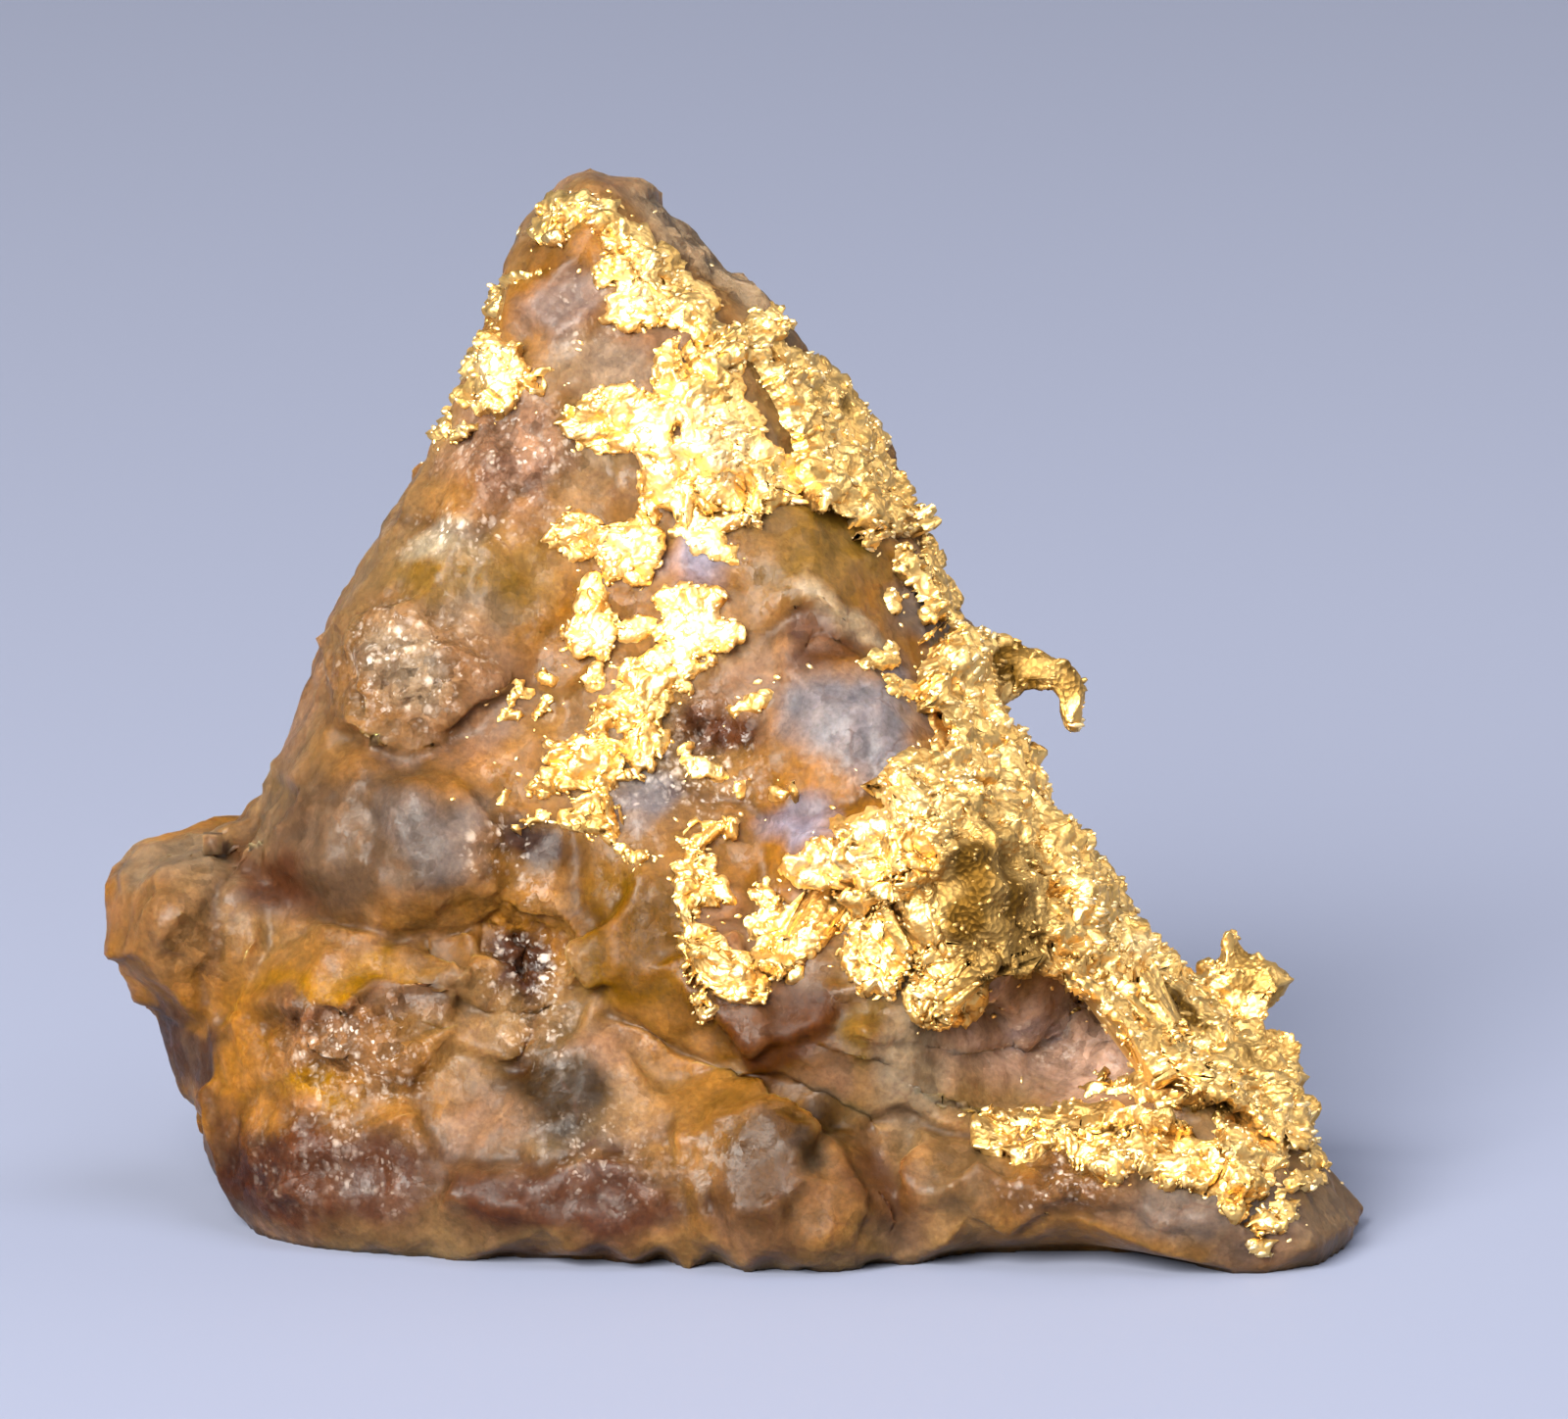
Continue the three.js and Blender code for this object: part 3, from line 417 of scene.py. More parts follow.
# Where iron has stained the front, with painted light and shade in a few of them: place, half sizes, turn,
# tint and strength.
STAINS = {
    "apex band": (-0.2, 24.5, 3.6, 1.2, -44, "tan", 0.8),
    "brown under the crown": (-4.4, 24.5, 1.1, 0.6, 0, "amber", 0.6),
    "clear grey neck": (-4.0, 23.2, 1.4, 1.2, 0, "grey", 0.55),
    "brown clear neck": (-3.2, 21.8, 2.0, 1.0, 0, "tan", 0.6),
    "flecked red brown": (-5.6, 19.5, 1.9, 1.9, 0, "clay", 0.75),
    "honey shoulder": (-6.5, 16.2, 2.8, 1.6, 0, "honey", 0.9),
    "milky patch": (-7.2, 17.2, 1.4, 0.8, 10, "milk", 0.8),
    "pale lower shoulder": (-6.4, 15.2, 1.6, 0.8, 0, "sand", 0.6),
    "red joint over the lump": (-5.2, 18.6, 1.6, 0.6, 20, "clay", 0.6),
    "veined orange lump": (-8.2, 13.8, 2.7, 2.2, 0, "orange", 0.85),
    "pale heart of the orange lump": (-8.0, 13.9, 1.3, 1.3, 0, "tan", 0.7),
    "smooth grey lump": (-8.9, 9.6, 3.9, 2.9, 0, "smoke", 0.95),
    "clear heart of the lump": (-7.1, 9.9, 1.5, 1.4, 0, "dim grey", 0.8),
    "rust behind the lump": (-11.6, 8.7, 1.5, 1.1, -40, "rust", 0.8),
    "knob's crown": (-14.2, 9.0, 2.0, 1.1, 0, "sand", 0.9),
    "knob's foot": (-14.3, 7.0, 2.0, 1.7, 0, "orange", 0.7),
    "dark left facet": (-13.8, 4.4, 1.1, 1.5, 20, "mauve", 0.9),
    "orange lens ledge": (-9.2, 5.8, 3.0, 1.2, 8, "orange shade", 0.8),
    "lens ledge's pale skin": (-9.4, 6.3, 2.4, 0.6, 8, "ochre", 0.7),
    "speckled lump": (-9.8, 4.2, 2.6, 1.3, 0, "orange", 0.8),
    "ochre streak": (-10.3, 3.4, 1.4, 0.5, 0, "ochre", 0.9),
    "red foot": (-10.0, 1.1, 4.4, 2.0, 0, "foot clay", 0.9),
    "foot's burnt heel": (-12.6, 0.9, 1.8, 1.8, 0, "burnt", 0.7),
    "pink foot strip": (-3.9, 0.5, 4.4, 1.6, 0, "foot clay", 0.9),
    "dark pit": (-5.1, 6.4, 1.0, 0.9, 0, "dark rust", 0.9),
    "olive block": (-4.2, 3.3, 1.9, 1.8, 0, "olive", 0.9),
    "honey block": (-2.2, 7.4, 1.9, 2.3, 0, "deep honey", 0.9),
    "amber block": (1.3, 5.2, 3.0, 1.8, -10, "amber", 0.97),
    "yellow band": (3.4, 4.8, 0.5, 1.8, -5, "honey", 0.7),
    # The pillar is painted pale tan, partly its own stain and partly painted light on a face that the
    # overhang shades.
    "tan pillar": (4.7, 4.5, 1.1, 2.2, -8, "tan", 0.9),
    "tan foot lump": (1.2, 1.3, 2.4, 2.5, 0, "tan shade", 0.85),
    "yellow green patch": (2.3, 2.1, 1.0, 0.9, 0, "olive", 0.8),
    "orange knob": (2.8, 0.3, 1.0, 0.9, 0, "orange", 0.8),
    "burnt crease": (4.1, 1.1, 0.9, 1.8, 25, "rust", 0.7),
    "low round lump": (5.8, 1.2, 1.4, 1.2, 0, "sand shade", 0.8),
    "low orange lump": (8.4, 1.0, 2.0, 1.3, 0, "orange shade", 0.7),
    "clear right foot": (12.0, 0.3, 3.0, 1.4, -8, "dim grey", 0.8),
    "foot tip": (15.2, -0.2, 1.2, 1.5, 0, "sand", 0.7),
    "lavender block": (-0.5, 16.8, 1.2, 1.0, 0, "lavender", 0.9),
    "brown shoulder": (2.4, 17.0, 2.0, 2.1, 0, "honey", 0.9),
    "pale rib": (3.2, 15.0, 1.7, 0.5, -45, "milk", 0.6),
    "small rust pit": (2.3, 14.5, 1.0, 0.8, 0, "rust", 0.8),
    "rust pit": (-0.2, 12.4, 1.4, 1.0, 0, "rust", 0.9),
    "grey block": (3.3, 12.5, 2.1, 1.6, -6, "grey", 0.95),
    "grey quartz window": (-1.8, 10.7, 1.0, 0.9, 0, "grey", 0.85),
    "lavender window": (2.0, 10.0, 1.2, 0.8, 0, "lavender", 0.9),
    "dark mauve joint": (-4.6, 9.6, 1.5, 1.0, 0, "mauve", 0.95),
    "clear right face": (5.3, 15.4, 1.3, 2.0, 15, "dim grey", 0.85),
    # The cave is painted pale as painted light.
    "cave": (8.3, 4.4, 3.4, 2.0, -12, "cave wall", 0.9),
    # A painted highlight: a pale lavender glint painted on the cave wall.
    "painted glint in the cave": (7.6, 4.6, 0.9, 0.5, 0, "lavender", 0.4),
}
STAIN_RICHNESS = 1.35
STAIN_DEPTH = 0.32
STAIN_SOFT = 0.5
STAIN_WANDER = [(0.5, 1.6), (0.15, 0.5)]
CREASE_RUST = 0.6
CRACK_RUST = 0.5
RUST_LIMIT = 0.75
# Where white chips of unstained quartz show: as the patches above, the strength being how many.
FLECKED = [
    (-5.4, 19.4, 2.0, 2.0, 0, 0.9),
    (-7.9, 13.9, 2.4, 1.8, 0, 0.9),
    (-9.6, 4.2, 2.4, 1.3, 0, 0.9),
    (-4.8, 5.8, 1.5, 2.2, 0, 1.0),
    (-9.6, 1.8, 3.0, 1.8, 0, 0.4),
    (-3.4, 1.6, 2.6, 1.6, 0, 0.4),
    (-6.8, 17.4, 2.0, 1.2, 0, 0.8),
    (-3.4, 23.2, 1.6, 1.4, 0, 0.8),
    (-5.6, 9.4, 1.2, 1.2, 0, 0.7),
    (-1.0, 11.4, 2.2, 1.6, 0, 1.0),
    (8.2, 1.2, 1.6, 0.9, 0, 0.8),
    (7.8, 4.4, 1.6, 1.0, 0, 0.8),
]


def linear(code):
    """An sRGB hex colour as linear numbers."""
    parts = [int(code[i : i + 2], 16) / 255 for i in (1, 3, 5)]
    return np.array([p / 12.92 if p <= 0.04045 else ((p + 0.055) / 1.055) ** 2.4 for p in parts])


def tinted(under, share, tint):
    """Colours with a named tint laid over them, by each point's share of it."""
    share = share[:, None]
    return under * (1 - share) + linear(TINTS[tint]) * share


def store_colour(mesh, name, values):
    layer = mesh.color_attributes.new(name, "FLOAT_COLOR", "POINT")
    layer.data.foreach_set("color", np.column_stack([values, np.ones(len(values))]).ravel())


def store_number(mesh, name, values):
    layer = mesh.attributes.new(name, "FLOAT", "POINT")
    layer.data.foreach_set("value", values)


u, w, v = to_elevation(places)
front = np.clip(1.4 - (v - 1) / 2, 0, 1)  # stains run a little further back than relief
stain_u, stain_w = wandered(u, w, millimetres, STAIN_WANDER, 8)
broad = np.clip(0.5 + 0.9 * cloud(millimetres, 5.0, 12), 0, 1)
colour = tinted(linear(TINTS["honey stone"]), broad, "tan stone")
colour = tinted(colour, np.clip(1.4 * cloud(millimetres, 3.2, 13) - 0.4, 0, 0.5), "clay")
clear = np.clip(1.6 * cloud(millimetres, 3.6, 15) - 0.3, 0, 0.8) * (1 - front)
colour = tinted(colour, clear, "tan")
for *oval, tint, strength in STAINS.values():
    colour = tinted(colour, strength * front * patch(stain_u, stain_w, oval, STAIN_SOFT), tint)
rusted = np.clip(CREASE_RUST * (crease - 0.08) + 0.15 * cloud(millimetres, 1.8, 14), 0, RUST_LIMIT)
colour = tinted(colour, np.maximum(rusted, CRACK_RUST * crack_dark), "rust")
grey = colour.mean(axis=1)[:, None]
colour = grey + (colour - grey) * STAIN_RICHNESS
store_colour(quartz.data, "iron_stain", np.clip(colour * STAIN_DEPTH, 0, 1))
store_number(quartz.data, "white_flecks", strongest(stain_u, stain_w, FLECKED, 0.8, front))
store_number(quartz.data, "splintery", rough)


def connect(value, socket):
    """Gives a socket a value, a hex colour, or a link from an output or from a node's first open one."""
    if isinstance(value, bpy.types.Node):
        value = next(output for output in value.outputs if output.enabled)
    if isinstance(value, bpy.types.NodeSocket):
        socket.id_data.links.new(value, socket)
    else:
        socket.default_value = (*linear(value), 1) if isinstance(value, str) else value


def add_node(tree, kind, *values, **settings):
    """Adds a node with its settings, and fills its open sockets in their order."""
    node = tree.nodes.new("ShaderNode" + kind)
    for key, value in settings.items():
        setattr(node, key, value)
    for socket, value in zip([socket for socket in node.inputs if socket.enabled], values):
        connect(value, socket)
    return node


def set_sockets(node, values):
    """Gives a node's named sockets their values, colours or links."""
    for name, value in values.items():
        connect(value, node.inputs[name])


def new_material(name):
    """A material, what adds a node to it, its shader and the piece's own coordinates."""
    material = bpy.data.materials.new(name)
    material.use_nodes = True
    add = partial(add_node, material.node_tree)
    return material, add, material.node_tree.nodes["Principled BSDF"], add("TexCoord").outputs["Object"]


def scale_for(size):
    """The scale of a pattern whose cells or lumps are `size` millimetres wide."""
    return 1 / (size * MM)


def white_chips(add, place, size, share, strength):
    """Chips about `size` wide, of which the given share are white and the rest are clear."""
    cell = add("TexVoronoi", place, scale_for(size))
    chance = add("SeparateColor", cell.outputs["Color"])
    chosen = add("MapRange", chance, 1 - share, 1, 0, strength)
    middle = add("MapRange", cell, 0.2, 0.6, 1, 0)
    return add("Math", chosen, middle, operation="MULTIPLY")


def facet_height(add, place, size):
    """The height, in metres, of small flat faces about `size` wide, each tilted its own way."""
    cell = add("TexVoronoi", place, scale_for(size))
    arm = add("VectorMath", place, cell.outputs["Position"], operation="SUBTRACT")
    tilt = add("VectorMath", cell.outputs["Color"], (0.5, 0.5, 0.5), operation="SUBTRACT")
    return add("VectorMath", arm, tilt, operation="DOT_PRODUCT")


# Vein quartz is a mass of small grains: iron has tinted each its own way and lines their joints with rust.
# Where it broke smooth, light goes a millimetre or two in; where it broke rough it is frosted with chips.
GRAIN_WIDTH = 0.42
CHIP_WIDTH = 0.2
WISPY = 0.6  # how strongly the fine waves of the noise show
quartz_finish, add, shader, position = new_material("vein quartz, iron stained, broken")
stain = add("Attribute", attribute_name="iron_stain").outputs["Color"]
fleck_share = add("Attribute", attribute_name="white_flecks").outputs["Fac"]
splintery = add("Attribute", attribute_name="splintery").outputs["Fac"]
# Grain edges sway by a quarter of a millimetre.
sway_noise = add("TexNoise", position, scale_for(0.3), 2, WISPY)
sway = add("VectorMath", sway_noise.outputs["Color"], 0.25 * MM, operation="SCALE")
swayed = add("VectorMath", position, sway, operation="ADD")
# Each grain has its own tone, and splintery stone varies the most.
grain = add("TexVoronoi", swayed, scale_for(GRAIN_WIDTH))
grain_chance = add("SeparateColor", grain.outputs["Color"])
grain_low = add("MapRange", splintery, 0, 1, 0.94, 0.68)
grain_high = add("MapRange", splintery, 0, 1, 1.06, 1.42)
grain_tone = add("MapRange", grain_chance, 0, 1, grain_low, grain_high)
mottle_noise = add("TexNoise", position, scale_for(0.8), 4, WISPY)
mottle_low = add("MapRange", splintery, 0.2, 0.9, 0.85, 0.7)
mottle_high = add("MapRange", splintery, 0.2, 0.9, 1.16, 1.32)
mottle = add("MapRange", mottle_noise, 0.3, 0.7, mottle_low, mottle_high)
speckle_noise = add("TexNoise", position, scale_for(0.14), 2, WISPY)
speckle = add("MapRange", speckle_noise, 0.3, 0.7, 0.8, 1.2)
mottled = add("Math", grain_tone, mottle, operation="MULTIPLY")
tone = add("Math", mottled, speckle, operation="MULTIPLY")
toned = add("VectorMath", stain, tone, operation="SCALE")

# Milky veils: sheets of tiny bubbles that healed cracks left inside the quartz.
veil_turn = (0.4, math.radians(35), 0.3)
veil_place = add("Mapping", swayed, (0, 0, 0), veil_turn, (1.0, 1.0, 0.55))
veil_noise = add("TexNoise", veil_place, scale_for(1.1), 4, WISPY)
veil = add("MapRange", veil_noise, 0.5, 0.7, 0, 1)
veil_lift = add("MapRange", veil, 0, 1, 1, 1.35)
lifted = add("VectorMath", toned, veil_lift, operation="SCALE")
veil_share = add("MapRange", veil, 0, 1, 0, 0.07)
veiled = add("Mix", veil_share, lifted, "#8c7862", data_type="RGBA")

# Rust has crept into some of the joints between grains.
joints = add("TexVoronoi", swayed, scale_for(1.3), feature="DISTANCE_TO_EDGE")
joint_line = add("MapRange", joints, 0, 0.05, 1, 0)
joint_noise = add("TexNoise", position, scale_for(1.6), 2, WISPY)
joint_where = add("MapRange", joint_noise, 0.5, 0.66, 0, 0.4)
joint_share = add("Math", joint_line, joint_where, operation="MULTIPLY")
jointed = add("Mix", joint_share, veiled, "#3a2013", data_type="RGBA")

# White chips lie in clusters where the stone is flecked.
coarse_chips = white_chips(add, swayed, 0.26, 0.45, 0.7)
fine_chips = white_chips(add, swayed, 0.13, 0.4, 0.8)
all_chips = add("Math", coarse_chips, fine_chips, operation="MAXIMUM")
cluster_noise = add("TexNoise", veil_place, scale_for(0.55), 3, WISPY)
clustered = add("MapRange", cluster_noise, 0.43, 0.57, 0, 1)
where_flecked = add("Math", clustered, fleck_share, operation="MULTIPLY")
white = add("Math", all_chips, where_flecked, operation="MULTIPLY")
flecked = add("Mix", white, jointed, "#cdc0b2", data_type="RGBA")

# A few of the small faces on broken grains are as flat as glass and flash.
chip = add("TexVoronoi", swayed, scale_for(CHIP_WIDTH))
chip_chance = add("SeparateColor", chip.outputs["Color"]).outputs["Green"]
flat_chips = add("MapRange", chip_chance, 0.8, 0.85, 0, 1)
on_splinters = add("MapRange", splintery, 0.45, 0.85, 0, 1)
flashing = add("Math", flat_chips, on_splinters, operation="MULTIPLY")
dull_noise = add("TexNoise", position, scale_for(1.5), 3, WISPY)
dulled = add("MapRange", dull_noise, 0.35, 0.65, 0.32, 0.56)
quartz_roughness = add("MapRange", flashing, 0, 0.6, dulled, 0.18)
wide_facets = facet_height(add, swayed, GRAIN_WIDTH)
small_facets = facet_height(add, swayed, CHIP_WIDTH)
chipped = add("Math", wide_facets, small_facets, operation="ADD")
chip_strength = add("MapRange", splintery, 0.2, 1, 0.14, 0.7)
quartz_bump = add("Bump", chip_strength, 1.0)
connect(chipped, quartz_bump.inputs["Height"])
clearness = add("MapRange", splintery, 0.2, 0.9, 0.8, 0.35)
set_sockets(shader, {
    "Base Color": flecked,
    "Roughness": quartz_roughness,
    "Normal": quartz_bump,
    "IOR": 1.54,
    "Specular IOR Level": 0.1,  # its worn faces scatter most of the light that glass would mirror
    "Subsurface Weight": clearness,
    "Subsurface Radius": (1.0, 0.62, 0.34),
    "Subsurface Scale": 1.6 * MM,
})
quartz.data.materials.append(quartz_finish)
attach(quartz, "root")
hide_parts("quartz_matrix")

# ---- Gold crusts ----
# Native gold that grew into the open cracks of the quartz: thin crusts and leaves, all over sugary grains
# about a sixth of a millimetre wide and twice as long. It is nearly pure, so it never tarnishes: what
# dulls it is partly a film of iron from the stone, and partly painted shade.
SOLID_GAP = 0.3  # the frame's solids stand this far off the stone
SEAT_SINK = 0.12
HIDDEN_SINK = 0.3  # how deep a crust goes under the stone where no gold shows
FREE_GAP = (1.3, 2.4)  # between these heights off the stone gold turns into a free leaf that keeps its place
TABLE_GAP = 0.05  # the crusts end this far above the table
GRAIN_LOWEST = 0.3  # no grain grows nearer to the table than this
FIRST_SEED = 100
SEEDS_EACH = 20
LEAF_THINNED = 0.1  # what the even skin adds to a thin free leaf is taken off again
DRAPE = (6.7, 8.2, 1.5, 2.2, 8)  # the lobe that hangs over the cave is smooth
DRAPE_ROUNDS = 6
# The hook and the curl are thin free leaves.
LEAF_PATCHES = [(8.1, 13.9, 1.6, 1.6, 0, 1.0), (13.7, 6.5, 1.2, 1.0, 0, 1.0)]
# How far and how wide the skin is ragged, how high and how wide it swells, and how far its outline wanders.
RAGGED = [(0.16, 0.8), (0.07, 0.3)]
SWELLING = [(0.13, 0.55), (0.08, 0.27)]
OUTLINE_WANDER = [(0.16, 0.5), (0.07, 0.2)]
# Each crust: its node, its remesh size, how much of its height it keeps and its grains per mm2.
CRUSTS = [
    ("gold_crown_crust", 0.085, 0.75, 6),
    ("gold_left_edge_crust", 0.085, 0.75, 6),
    ("gold_upper_sheet", 0.10, 0.75, 5),
    ("gold_mid_crust", 0.085, 0.70, 6),
    ("gold_centre_crust", 0.085, 0.70, 6),
    ("gold_low_mid_crust", 0.085, 0.70, 6),
    ("gold_column_crust", 0.085, 0.70, 6),
    ("gold_curtain", 0.095, 0.9, 6),
    ("gold_ledge_crust", 0.085, 0.75, 6),
    ("gold_foot_crust", 0.085, 0.70, 6),
]
# Where gold lies on the front: place, half sizes, turn, and how lacy it is.
GOLD_PATCHES = [
    # the crown
    (-3.67, 25.73, 1.2, 0.28, 0, 0.3),
    (-4.58, 25.12, 0.45, 0.33, 20, 0.5),
    (-2.1, 24.65, 1.55, 0.42, -42, 0.2),
    (-2.8, 24.1, 0.55, 0.28, 0, 0.3),
    (-2.23, 23.23, 0.7, 0.65, 0, 0.0),
    (-0.78, 23.07, 0.68, 0.75, -30, 0.3),
    (-0.28, 22.35, 0.7, 0.3, -20, 0.2),
    (0.97, 22.57, 0.75, 0.6, 0, 0.6),
    # the upper left edge
    (-5.15, 23.95, 0.4, 0.12, 15, 0.2),
    (-6.0, 23.32, 0.35, 0.55, 10, 0.5),
    (-5.9, 21.73, 0.72, 0.7, 0, 0.0),
    (-4.85, 21.38, 0.55, 0.15, 5, 0.1),
    (-6.1, 20.98, 0.85, 0.28, 8, 0.3),
    (-7.17, 20.12, 0.3, 0.53, -25, 0.4),
    # the upper sheet
    (-2.73, 20.27, 1.18, 0.85, 0, 0.0),
    (-0.6, 21.4, 1.25, 0.9, -10, 0.1),
    (-0.6, 19.9, 2.05, 1.2, -5, 0.0),
    (0.9, 18.9, 1.38, 0.7, 0, 0.0),
    (-0.85, 18.65, 1.25, 0.65, 0, 0.0),
    (0.65, 18.15, 1.05, 0.33, 15, 0.4),
    (-1.95, 17.7, 0.3, 0.6, 0, 0.0),
    (-0.6, 17.4, 0.6, 0.5, -20, 0.1),
    (0.05, 16.88, 0.42, 0.3, 30, 0.3),
    # the right ridge
    (1.57, 21.82, 0.8, 0.38, -30, 0.4),
    (2.83, 20.4, 1.88, 0.95, -52, 0.25),
    (3.77, 18.73, 1.2, 0.5, -15, 0.3),
    (3.33, 18.1, 0.4, 0.38, 0, 0.2),
    (4.15, 17.48, 0.25, 0.38, 0, 0.4),
    (5.08, 18.15, 0.8, 0.33, 0, 0.3),
    (5.47, 16.23, 0.38, 1.38, 15, 0.7),
    # the middle
    (-3.67, 17.45, 0.6, 0.53, 0, 0.2),
    (-3.73, 16.95, 0.23, 0.28, 0, 0.3),
    (-2.55, 17.02, 0.78, 0.7, 0, 0.15),
    (-2.1, 16.32, 0.42, 0.35, 0, 0.2),
    (-3.35, 15.82, 0.42, 0.47, 0, 0.3),
    (-3.33, 14.9, 0.6, 0.57, 0, 0.0),
    (-2.17, 14.9, 0.5, 0.28, 10, 0.1),
    # the centre
    (-0.93, 15.6, 0.75, 0.5, 0, 0.0),
    (-0.68, 14.9, 1.07, 0.47, 0, 0.3),
    # loose bits across the middle
    (4.28, 15.65, 0.25, 0.23, 0, 0.0),
    (3.92, 14.22, 0.53, 0.23, 20, 0.1),
    (4.58, 13.47, 0.65, 0.3, -20, 0.6),
    (-1.6, 13.9, 1.35, 0.65, 15, 0.6),
    (-3.27, 13.72, 0.33, 0.45, -10, 0.3),
    (-5.12, 13.38, 0.3, 0.2, 45, 0.1),
    (-5.47, 12.78, 0.47, 0.17, 35, 0.3),
    (-4.58, 12.97, 0.4, 0.2, 50, 0.2),
    (-4.3, 13.72, 0.35, 0.2, -20, 0.2),
    # the low middle
    (-2.23, 13.1, 1.15, 0.6, 22, 0.5),
    (-1.98, 12.28, 0.6, 0.7, 0, 0.1),
    (-3.42, 11.97, 1.25, 0.35, 8, 0.3),
    (-3.6, 11.45, 1.18, 0.28, 12, 0.4),
    (-4.42, 11.1, 0.68, 0.42, 10, 0.6),
    (-2.85, 11.22, 0.75, 0.25, 10, 0.4),
    (-3.3, 10.28, 0.57, 0.57, 0, 0.5),
    (-4.8, 10.2, 0.38, 0.17, 10, 0.2),
    (-5.47, 10.72, 0.17, 0.12, 0, 0.0),
    (-0.57, 11.45, 0.53, 0.23, -30, 0.0),
    (-1.02, 11.95, 0.2, 0.12, 0, 0.0),
    (0.78, 13.15, 0.6, 0.23, 25, 0.2),
    (0.23, 12.85, 0.2, 0.12, 0, 0.0),
    (0.45, 10.95, 0.17, 0.15, 0, 0.0),
    (1.4, 10.78, 0.2, 0.12, 0, 0.0),
    (-2.48, 9.38, 0.17, 0.15, 0, 0.0),
    (-2.02, 9.2, 0.23, 0.12, 0, 0.0),
    # the column
    (-0.42, 10.03, 0.25, 0.15, 0, 0.0),
    (0.17, 10.07, 0.35, 0.17, 25, 0.2),
    (-0.7, 8.78, 0.53, 1.05, -8, 0.3),
    (-0.1, 8.38, 0.5, 0.23, -35, 0.2),
    (-0.68, 7.1, 0.53, 0.55, 0, 0.45),
    (0.07, 6.47, 0.8, 0.6, -30, 0.3),
    (0.57, 6.0, 0.6, 0.23, 0, 0.2),
    (-0.38, 5.33, 0.38, 0.23, 10, 0.4),
    # the bright front of the curtain
    (2.95, 10.03, 0.23, 0.2, 0, 0.0),
    (3.65, 10.07, 0.8, 0.23, 10, 0.2),
    (2.77, 9.03, 1.35, 0.62, 5, 0.0),
    (4.22, 9.65, 1.55, 0.8, 20, 0.0),
    (5.33, 10.97, 1.45, 1.0, 0, 0.0),
    (4.15, 8.22, 1.55, 0.38, 5, 0.35),
    (1.1, 8.22, 0.42, 0.38, 0, 0.1),
    (1.43, 7.4, 0.9, 0.55, -10, 0.2),
    (1.77, 6.53, 0.42, 0.33, 0, 0.2),
    (2.67, 7.72, 0.78, 0.38, 10, 0.2),
    (3.77, 6.85, 0.82, 0.82, 0, 0.3),
    # the hanging lobe, the hook and the thick right flank
    (6.53, 7.9, 2.0, 2.45, 0, 0.0),
    (5.58, 5.83, 1.1, 0.95, 30, 0.0),
    (6.78, 13.97, 1.05, 1.2, 0, 0.3),
    (6.78, 12.47, 1.55, 0.85, 0, 0.1),
    (8.53, 9.28, 2.25, 2.75, 0, 0.0),
    (10.78, 5.78, 2.75, 1.88, -35, 0.0),
    (13.28, 4.53, 1.88, 1.88, 0, 0.0),
    # the ledge
    (7.33, 2.6, 1.0, 0.25, 3, 0.1),
    (9.07, 2.52, 1.3, 0.5, 0, 0.2),
    (9.82, 3.62, 1.3, 0.42, -3, 0.1),
    (11.82, 3.27, 1.55, 0.4, 3, 0.2),
    (9.53, 1.9, 0.65, 0.4, -30, 0.3),
    (11.28, 1.95, 1.55, 0.33, -15, 0.4),
    (13.78, 2.77, 1.45, 1.05, 0, 0.2),
    (13.15, 1.77, 1.05, 0.45, -15, 0.4),
    (15.15, 1.65, 0.68, 0.38, -30, 0.2),
    # flecks on the foot
    (12.78, 0.78, 0.57, 0.35, -10, 0.2),
    (13.93, 0.33, 0.5, 0.35, -45, 0.3),
    (14.53, 1.02, 0.65, 0.17, 0, 0.1),
    (13.43, -0.47, 0.42, 0.23, 0, 0.2),
]
# Stone that shows through or beside the gold: place, half sizes and turn.
BARE_PATCHES = {
    "rust hole": (8.78, 8.38, 0.42, 0.25, 0),
    "rust slit": (8.53, 9.05, 0.33, 0.12, 0),
    "stone band by the sheet": (1.55, 20.4, 0.6, 1.9, 26),
    "grey window": (-0.85, 21.98, 0.2, 0.33, 0),
    "small grey window": (-1.23, 20.0, 0.17, 0.23, 0),
    "ring's hole": (-3.4, 10.22, 0.2, 0.17, 0),
    "cave": (8.1, 4.35, 2.5, 1.0, 0),
    "cave's peak": (7.9, 5.4, 1.3, 0.9, -10),
    "cave's right end": (10.2, 4.4, 1.4, 0.45, -38),
}
# Where the gold is painted brown and dull: partly an iron film, and partly painted shade on lobes, folds and
# hollows that face away from the light, such as the droop, the hook and under it.
SHADE_AND_FILM_PATCHES = {
    "droop": (6.7, 7.8, 2.3, 3.3, 10, 0.85),
    "droop's right lobe": (7.8, 7.1, 0.8, 1.3, 30, 0.9),
    "hook": (8.1, 14.0, 1.6, 1.2, -20, 0.8),
    "hook's hollow": (7.35, 14.1, 0.6, 0.8, 0, 1.0),
    "curl": (13.6, 6.3, 1.4, 1.1, 0, 0.7),
    "under the hook": (7.6, 13.6, 0.8, 0.35, -10, 1.0),
    "crease beside the cave": (11.7, 5.3, 1.1, 0.35, -45, 1.0),
    "orange streak": (10.7, 6.3, 0.35, 0.8, 30, 0.6),
    "hollow over the ledge": (12.2, 2.8, 1.6, 0.5, 0, 1.0),
    "fold of the end": (13.6, 4.2, 1.0, 0.9, 0, 0.55),
    "tongue's fold": (3.5, 10.15, 0.7, 0.25, 10, 0.8),
    "shade of the ridge": (3.3, 20.9, 0.5, 0.5, 0, 0.7),
    "ring": (-3.3, 10.3, 0.8, 0.8, 0, 0.5),
    "lattice": (-2.6, 12.9, 1.6, 0.9, 20, 0.4),
    "lower left": (-4.2, 11.0, 1.0, 0.7, 0, 0.5),
    "column": (-0.6, 7.2, 0.9, 1.9, 0, 0.4),
}
